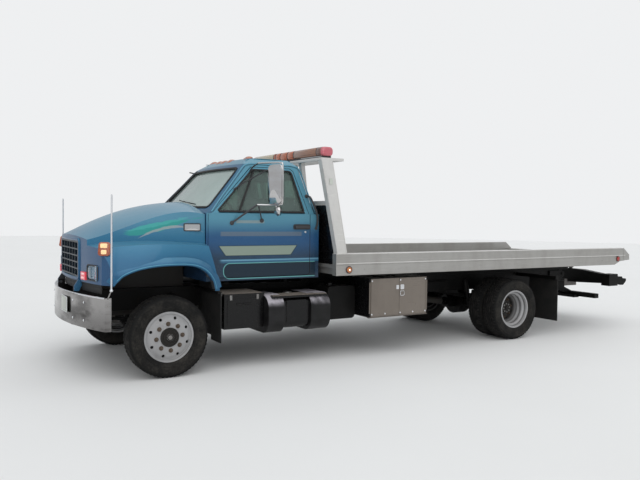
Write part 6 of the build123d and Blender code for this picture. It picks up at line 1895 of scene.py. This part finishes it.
@dataclass
class Underframe:
    """Rivets, pipes, spring clamps, dampers, tank, flap and lift fittings of the chassis."""

    web_y: float = -0.4325

    def frame(self) -> None:
        """Make the rails' rivets, the air pipes along them, the spring clamps and the dampers."""
        spots = [(x, self.web_y, z) for x in np.arange(1.25, 6.3, 0.2) for z in (0.672, 0.818)]
        heads = rivets(spots, OUT, 0.01)
        pipes = [tube([(1.15, -0.445 - 0.012 * n, 0.785 - 0.016 * n),
                       (3.0, -0.445 - 0.012 * n, 0.78 - 0.016 * n),
                       (4.3, -0.445 - 0.012 * n, 0.785 - 0.016 * n)], 0.006, 6) for n in range(2)]
        clamps = []
        for x in (0.0, WHEELBASE):
            top, low = (0.548, 0.3) if x == 0.0 else (0.585, 0.345)
            for dx in (-0.045, 0.045):
                clamps.append(tube(smooth_path([(x + dx, -0.436, low), (x + dx, -0.44, top),
                                                (x + dx, -0.395, top + 0.018), (x + dx, -0.352, top),
                                                (x + dx, -0.354, low)], 5), 0.008, 7))
        dampers = []
        for foot, head in (((0.16, -0.52, 0.36), (0.24, -0.5, 0.8)), ((4.7, -0.5, 0.36), (4.6, -0.48, 0.78))):
            run = np.array(head) - np.array(foot)
            size = float(np.linalg.norm(run))
            dampers.append(turned([(0.001, 0), (0.022, 0), (0.022, 0.02), (0.03, 0.03), (0.03, size * 0.55),
                                   (0.036, size * 0.56), (0.036, size - 0.03), (0.022, size - 0.02),
                                   (0.022, size), (0.001, size)], foot, tuple(run), 18))
        piece = Piece("chassis_fittings", "chassis", "black_paint")
        piece.pair(Palette.chassis, heads, *pipes, *clamps, *dampers).make()

    def tanks(self) -> None:
        """Make the tanks' caps, covers, straps, steps and blank panels, the battery boxes' panels, ribs
        and handles, and the oil reservoirs.
        """
        cap = turned([(0.001, 0), (0.055, 0), (0.055, 0.016), (0.05, 0.026), (0.03, 0.03), (0.001, 0.03)],
                     (1.55, -0.735, 0.752), UP, 28)
        steps = [swept([(1.185, y, 0.776), (1.885, y, 0.776)], (0.012, 0.008, 0.002, 2))
                 for y in np.arange(-1.075, -0.87, 0.034)]
        girth = resampled(rectangle((-1.085, 0.395), (-0.515, 0.755), 0.1, 6), 0.02)
        straps = [tube(placed(girth, Plane.YZ, x), 0.004, 6) for x in (1.278, 1.322, 1.738, 1.782)]
        covers = [swept([(low, -0.8, 0.57), (high, -0.8, 0.57)], (0.64, 0.424, 0.15, 10))
                  for low, high in ((1.118, 1.316), (1.66, 1.915))]
        blank = domed(rectangle((1.36, 0.47), (1.615, 0.72), 0.012, 3), Plane.XZ, -1.078, -0.006, 0.0)
        ribs = [swept([(0.648, y, 0.8135), (1.1, y, 0.8135)], (0.014, 0.007, 0.002, 2))
                for y in np.arange(-0.985, -0.57, 0.045)]
        panel = domed(rectangle((0.675, 0.47), (1.075, 0.755), 0.02, 3), Plane.XZ, -0.999, -0.006, -0.001)
        grip = tube(smooth_path([(0.8, -1.003, 0.7), (0.8, -1.02, 0.7), (0.95, -1.02, 0.7),
                                 (0.95, -1.003, 0.7)], 4), 0.006, 8)
        buckle = [block((x, -1.012, 0.745), (x + 0.03, -1.006, 0.8), 0.002) for x in (0.7, 1.02)]
        store = domed(rectangle((1.985, 0.44), (2.375, 0.835), 0.05, 5), Plane.XZ, -0.475, -0.47, -0.006)
        neck = turned([(0.001, 0), (0.04, 0), (0.04, 0.03), (0.034, 0.036), (0.001, 0.036)],
                      (2.1, -0.8, 0.833), UP, 24)
        arms = [block((x, -0.432, 0.5), (x + 0.05, -0.48, 0.8), 0.003) for x in (2.03, 2.28)]
        piece = Piece("oil_reservoirs", "chassis", "black_paint")
        piece.pair(Palette.chassis, store, *arms).pair(Palette.box_black, neck).make()
        piece = Piece("tank_fittings", "chassis", "black_paint").pair(Palette.steel, cap, *buckle)
        piece.pair(Palette.box_black, *straps, panel, grip, blank).pair(Palette.plate_metal, *steps, *ribs)
        # The covers' finish paints a sky highlight on their tops
        piece.pair(Palette.tank_cover, *covers).make()

    def flaps(self) -> None:
        """Make the mudflaps' strips and bolts, the splash shields by the frame and the sill under the cab."""
        parts = []
        for x, near, far, top, low in ((0.562, -0.855, -1.11, 0.845, 0.32),
                                       (5.752, -0.665, -1.175, 0.838, 0.212)):
            parts.append(block((x, near, top - 0.035), (x + 0.006, far, top), 0.001))
            parts.append(bolts([(x + 0.006, y, top - 0.018) for y in np.linspace(near - 0.03, far + 0.03, 4)],
                               BACK, 0.009, 0.008))
            parts.append(block((x, near - 0.01, low), (x + 0.004, far + 0.01, low + 0.03), 0.001))
        shield = block((0.5555, -0.455, 0.36), (0.5605, -0.853, 0.948), 0.001)
        sill = block((0.585, -0.84, 0.8625), (0.6, 0.84, 0.9525), 0.002)
        piece = Piece("flap_fittings", "chassis", "steel").pair(Palette.steel, *parts)
        piece.pair(Palette.flap, shield).add(Palette.chassis, sill).make()

    def lift(self) -> None:
        """Make the wheel lift's pin heads, treads, hoses and pin cap, and the crossbar's rings and bolts."""
        head = turned([(0.001, 0), (0.03, 0), (0.03, 0.01), (0.022, 0.014), (0.001, 0.014)],
                      (6.45, -0.11, 0.6), OUT, 20)
        tread = [swept([(7.385 + n * 0.018, -0.57, 0.4485), (7.385 + n * 0.018, 0.57, 0.4485)],
                       (0.008, 0.005, 0.0015, 2)) for n in range(6)]
        hose = tube(smooth_path([(6.6, -0.074, 0.655), (6.7, -0.084, 0.64), (6.95, -0.08, 0.648),
                                 (7.2, -0.08, 0.64), (7.245, -0.076, 0.63)], 8), 0.009, 8)
        piece = Piece("lift_fittings", "lift_boom", "steel").pair(Palette.steel, head)
        piece.add(Palette.tread_plate, *tread).pair(Palette.seal, hose).make()
        pin = turned([(0.001, 0), (0.04, 0), (0.044, 0.004), (0.044, 0.01), (0.02, 0.016), (0.001, 0.016)],
                     (7.5, 0, 0.866), UP, 24)
        Piece("lift_pin_cap", "lift_slide", "steel").add(Palette.steel, pin).make()
        ends = [turned([(0.026, 0.0), (0.04, 0.0), (0.04, 0.006), (0.026, 0.006)], (7.53, -0.74, 0.79),
                       UP, 24, looped=True),
                *(bolts([(7.641, y, z)], BACK, 0.011, 0.008) for y in (-0.8, -0.68) for z in (0.635, 0.765))]
        Piece("crossbar_fittings", "lift_crossbar", "steel").pair(Palette.steel, *ends).make()

    def make(self) -> None:
        """Make all of the underframe's pieces."""
        self.frame()
        self.tanks()
        self.flaps()
        self.lift()


# Studio


@dataclass
class Studio:
    """Pale floor, even sky, soft lamps and the camera."""

    lens_mm: float = 38.04
    place: tuple[float, float, float] = (-5.7595, -7.7504, 1.6655)
    yaw: float = 0.5421
    pitch: float = -0.0346
    roll: float = 0.0127
    sensor_mm: float = 36.0
    farthest: float = 300.0
    floor_radius: float = 45.0
    sky_light: float = 0.62
    key: float = 1.55
    rim: float = 0.45
    lamp_angle: float = 1.5

    def floor(self) -> None:
        """Make the round floor, a little mottled."""
        graph = Graph(bpy.data.materials.new("studio_floor"))
        colour = graph.mix(graph.noise(0.4, 3.0), (0.74, 0.74, 0.73), (0.78, 0.78, 0.775))
        material = graph.close(graph.surface(Base_Color=colour, Roughness=0.7))
        ring = circle(self.floor_radius, 96)
        mesh = bpy.data.meshes.new("studio_floor")
        mesh.from_pydata(placed(ring, Plane.XY, 0.0).tolist(), [], [list(range(len(ring)))])
        mesh.materials.append(material)
        floor = bpy.data.objects.new("studio_floor", mesh)
        bpy.context.scene.collection.objects.link(floor)

    def sky(self) -> None:
        """Light the scene evenly, and show a pale background to the camera, metal and glass."""
        graph = Graph(bpy.data.worlds.new("studio"))
        camera = graph.node("ShaderNodeLightPath", out="Is Camera Ray")
        seen = graph.math("MAXIMUM", camera, camera.output("Is Transmission Ray"))
        light = graph.node("ShaderNodeBackground",
                           inputs={"Color": (0.94, 0.97, 1.0), "Strength": self.sky_light})
        back = graph.node("ShaderNodeBackground", inputs={"Color": (0.86, 0.87, 0.88)})
        mixed = graph.node("ShaderNodeMixShader", inputs={0: seen, 1: light, 2: back})
        bpy.context.scene.world = graph.close(mixed)

    def lamps(self) -> None:
        """Hang one broad soft key lamp over the camera's left and a weak one behind the tail."""
        for name, energy, direction in (("key", self.key, (0.45, 0.75, -1.0)),
                                        ("rim", self.rim, (-0.9, -0.35, -0.8))):
            data = bpy.data.lights.new(name, "SUN")
            data.energy, data.angle = energy, self.lamp_angle
            lamp = bpy.data.objects.new(name, data)
            lamp.rotation_mode = "QUATERNION"
            lamp.rotation_quaternion = Vector(direction).to_track_quat("-Z", "Y")
            bpy.context.scene.collection.objects.link(lamp)

    def camera(self) -> None:
        """Stand the camera where the photograph was taken from."""
        forward = Vector((math.sin(self.yaw) * math.cos(self.pitch),
                          math.cos(self.yaw) * math.cos(self.pitch), math.sin(self.pitch)))
        right = Vector((math.cos(self.yaw), -math.sin(self.yaw), 0.0))
        up = right.cross(forward)
        tilted = right * math.cos(self.roll) + up * math.sin(self.roll)
        upright = up * math.cos(self.roll) - right * math.sin(self.roll)
        data = bpy.data.cameras.new("camera")
        data.lens, data.sensor_width, data.clip_end = self.lens_mm, self.sensor_mm, self.farthest
        camera = bpy.data.objects.new("camera", data)
        turn = Matrix((tilted, upright, -forward)).transposed()
        camera.matrix_world = Matrix.Translation(self.place) @ turn.to_4x4()
        bpy.context.scene.collection.objects.link(camera)
        bpy.context.scene.camera = camera

    def make(self) -> None:
        """Set the whole studio up."""
        self.floor()
        self.sky()
        self.lamps()
        self.camera()
        bpy.context.scene.view_settings.view_transform = "Standard"


def paint_cad() -> None:
    """Give every carried-over CAD node its finish."""
    paint_nodes(Palette.hood_paint, "hood")
    paint_nodes(Palette.cab_paint, "cab_shell", "door_left", "door_right")
    paint_nodes(Palette.chassis, "frame_rails", "crossmembers", "frame_brackets", "front_axle", "rear_axle",
                "tilt_frame", "radiator", "tilt_cylinder_barrels", "lift_cylinder_barrel", "lift_boom",
                "lift_crossbar", "winch")
    paint_nodes(Palette.box_black, "battery_boxes", "fuel_tanks")
    paint_nodes(Palette.engine, "engine", "drive_line")
    paint_nodes(Palette.iron, "knuckle_left", "knuckle_right", "exhaust", "tie_rod", "lift_slide",
                "winch_drum")
    paint_nodes(Palette.rod, "tilt_cylinder_rods", "lift_cylinder_rod")
    paint_nodes(Palette.bumper_chrome, "front_bumper")
    paint_nodes(Palette.chrome, "mirror_left", "mirror_right")
    paint_nodes(Palette.grille_paint, "grille")
    paint_nodes(Palette.clear, "front_lamps")
    paint_nodes(Palette.wheel, "front_wheel_left", "front_wheel_right")
    paint_nodes(Palette.dual, "rear_wheels_left", "rear_wheels_right")
    paint_nodes(Palette.flap, "mud_flaps")
    paint_nodes(Palette.glass, "cab_glass")
    paint_nodes(Palette.door_glass, "door_glass_left", "door_glass_right")
    paint_nodes(Palette.plastic, "dashboard", "steering_wheel")
    paint_nodes(Palette.aluminium, "deck_floor")
    paint_nodes(Palette.rail, "deck_rails")
    paint_nodes(Palette.post_metal, "headboard")
    # The toolbox bodies take the black finish; the dark of their front ends under the deck is partly painted
    # shade
    paint_nodes(Palette.box_black, "toolbox_left", "toolbox_right")
    paint_nodes(Palette.plate_metal, *(
        f"toolbox_{leaf}_door_{hand}" for leaf in ("front", "rear") for hand in ("left", "right")))


def main() -> None:
    """Dress the CAD nodes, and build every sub-assembly and the studio."""
    logging.basicConfig(level=logging.INFO, format="%(name)s %(message)s", stream=sys.stdout)
    paint_cad()
    for assembly in (Tyres(), WheelFittings(), FrontEnd(), CabTrim(), Interior(), Seats(), Deck(), LightBar(),
                     Winch(), Toolboxes(), Underframe(), Studio()):
        assembly.make()
        log.info("%s done", type(assembly).__name__)


if __name__ == "__main__":
    main()
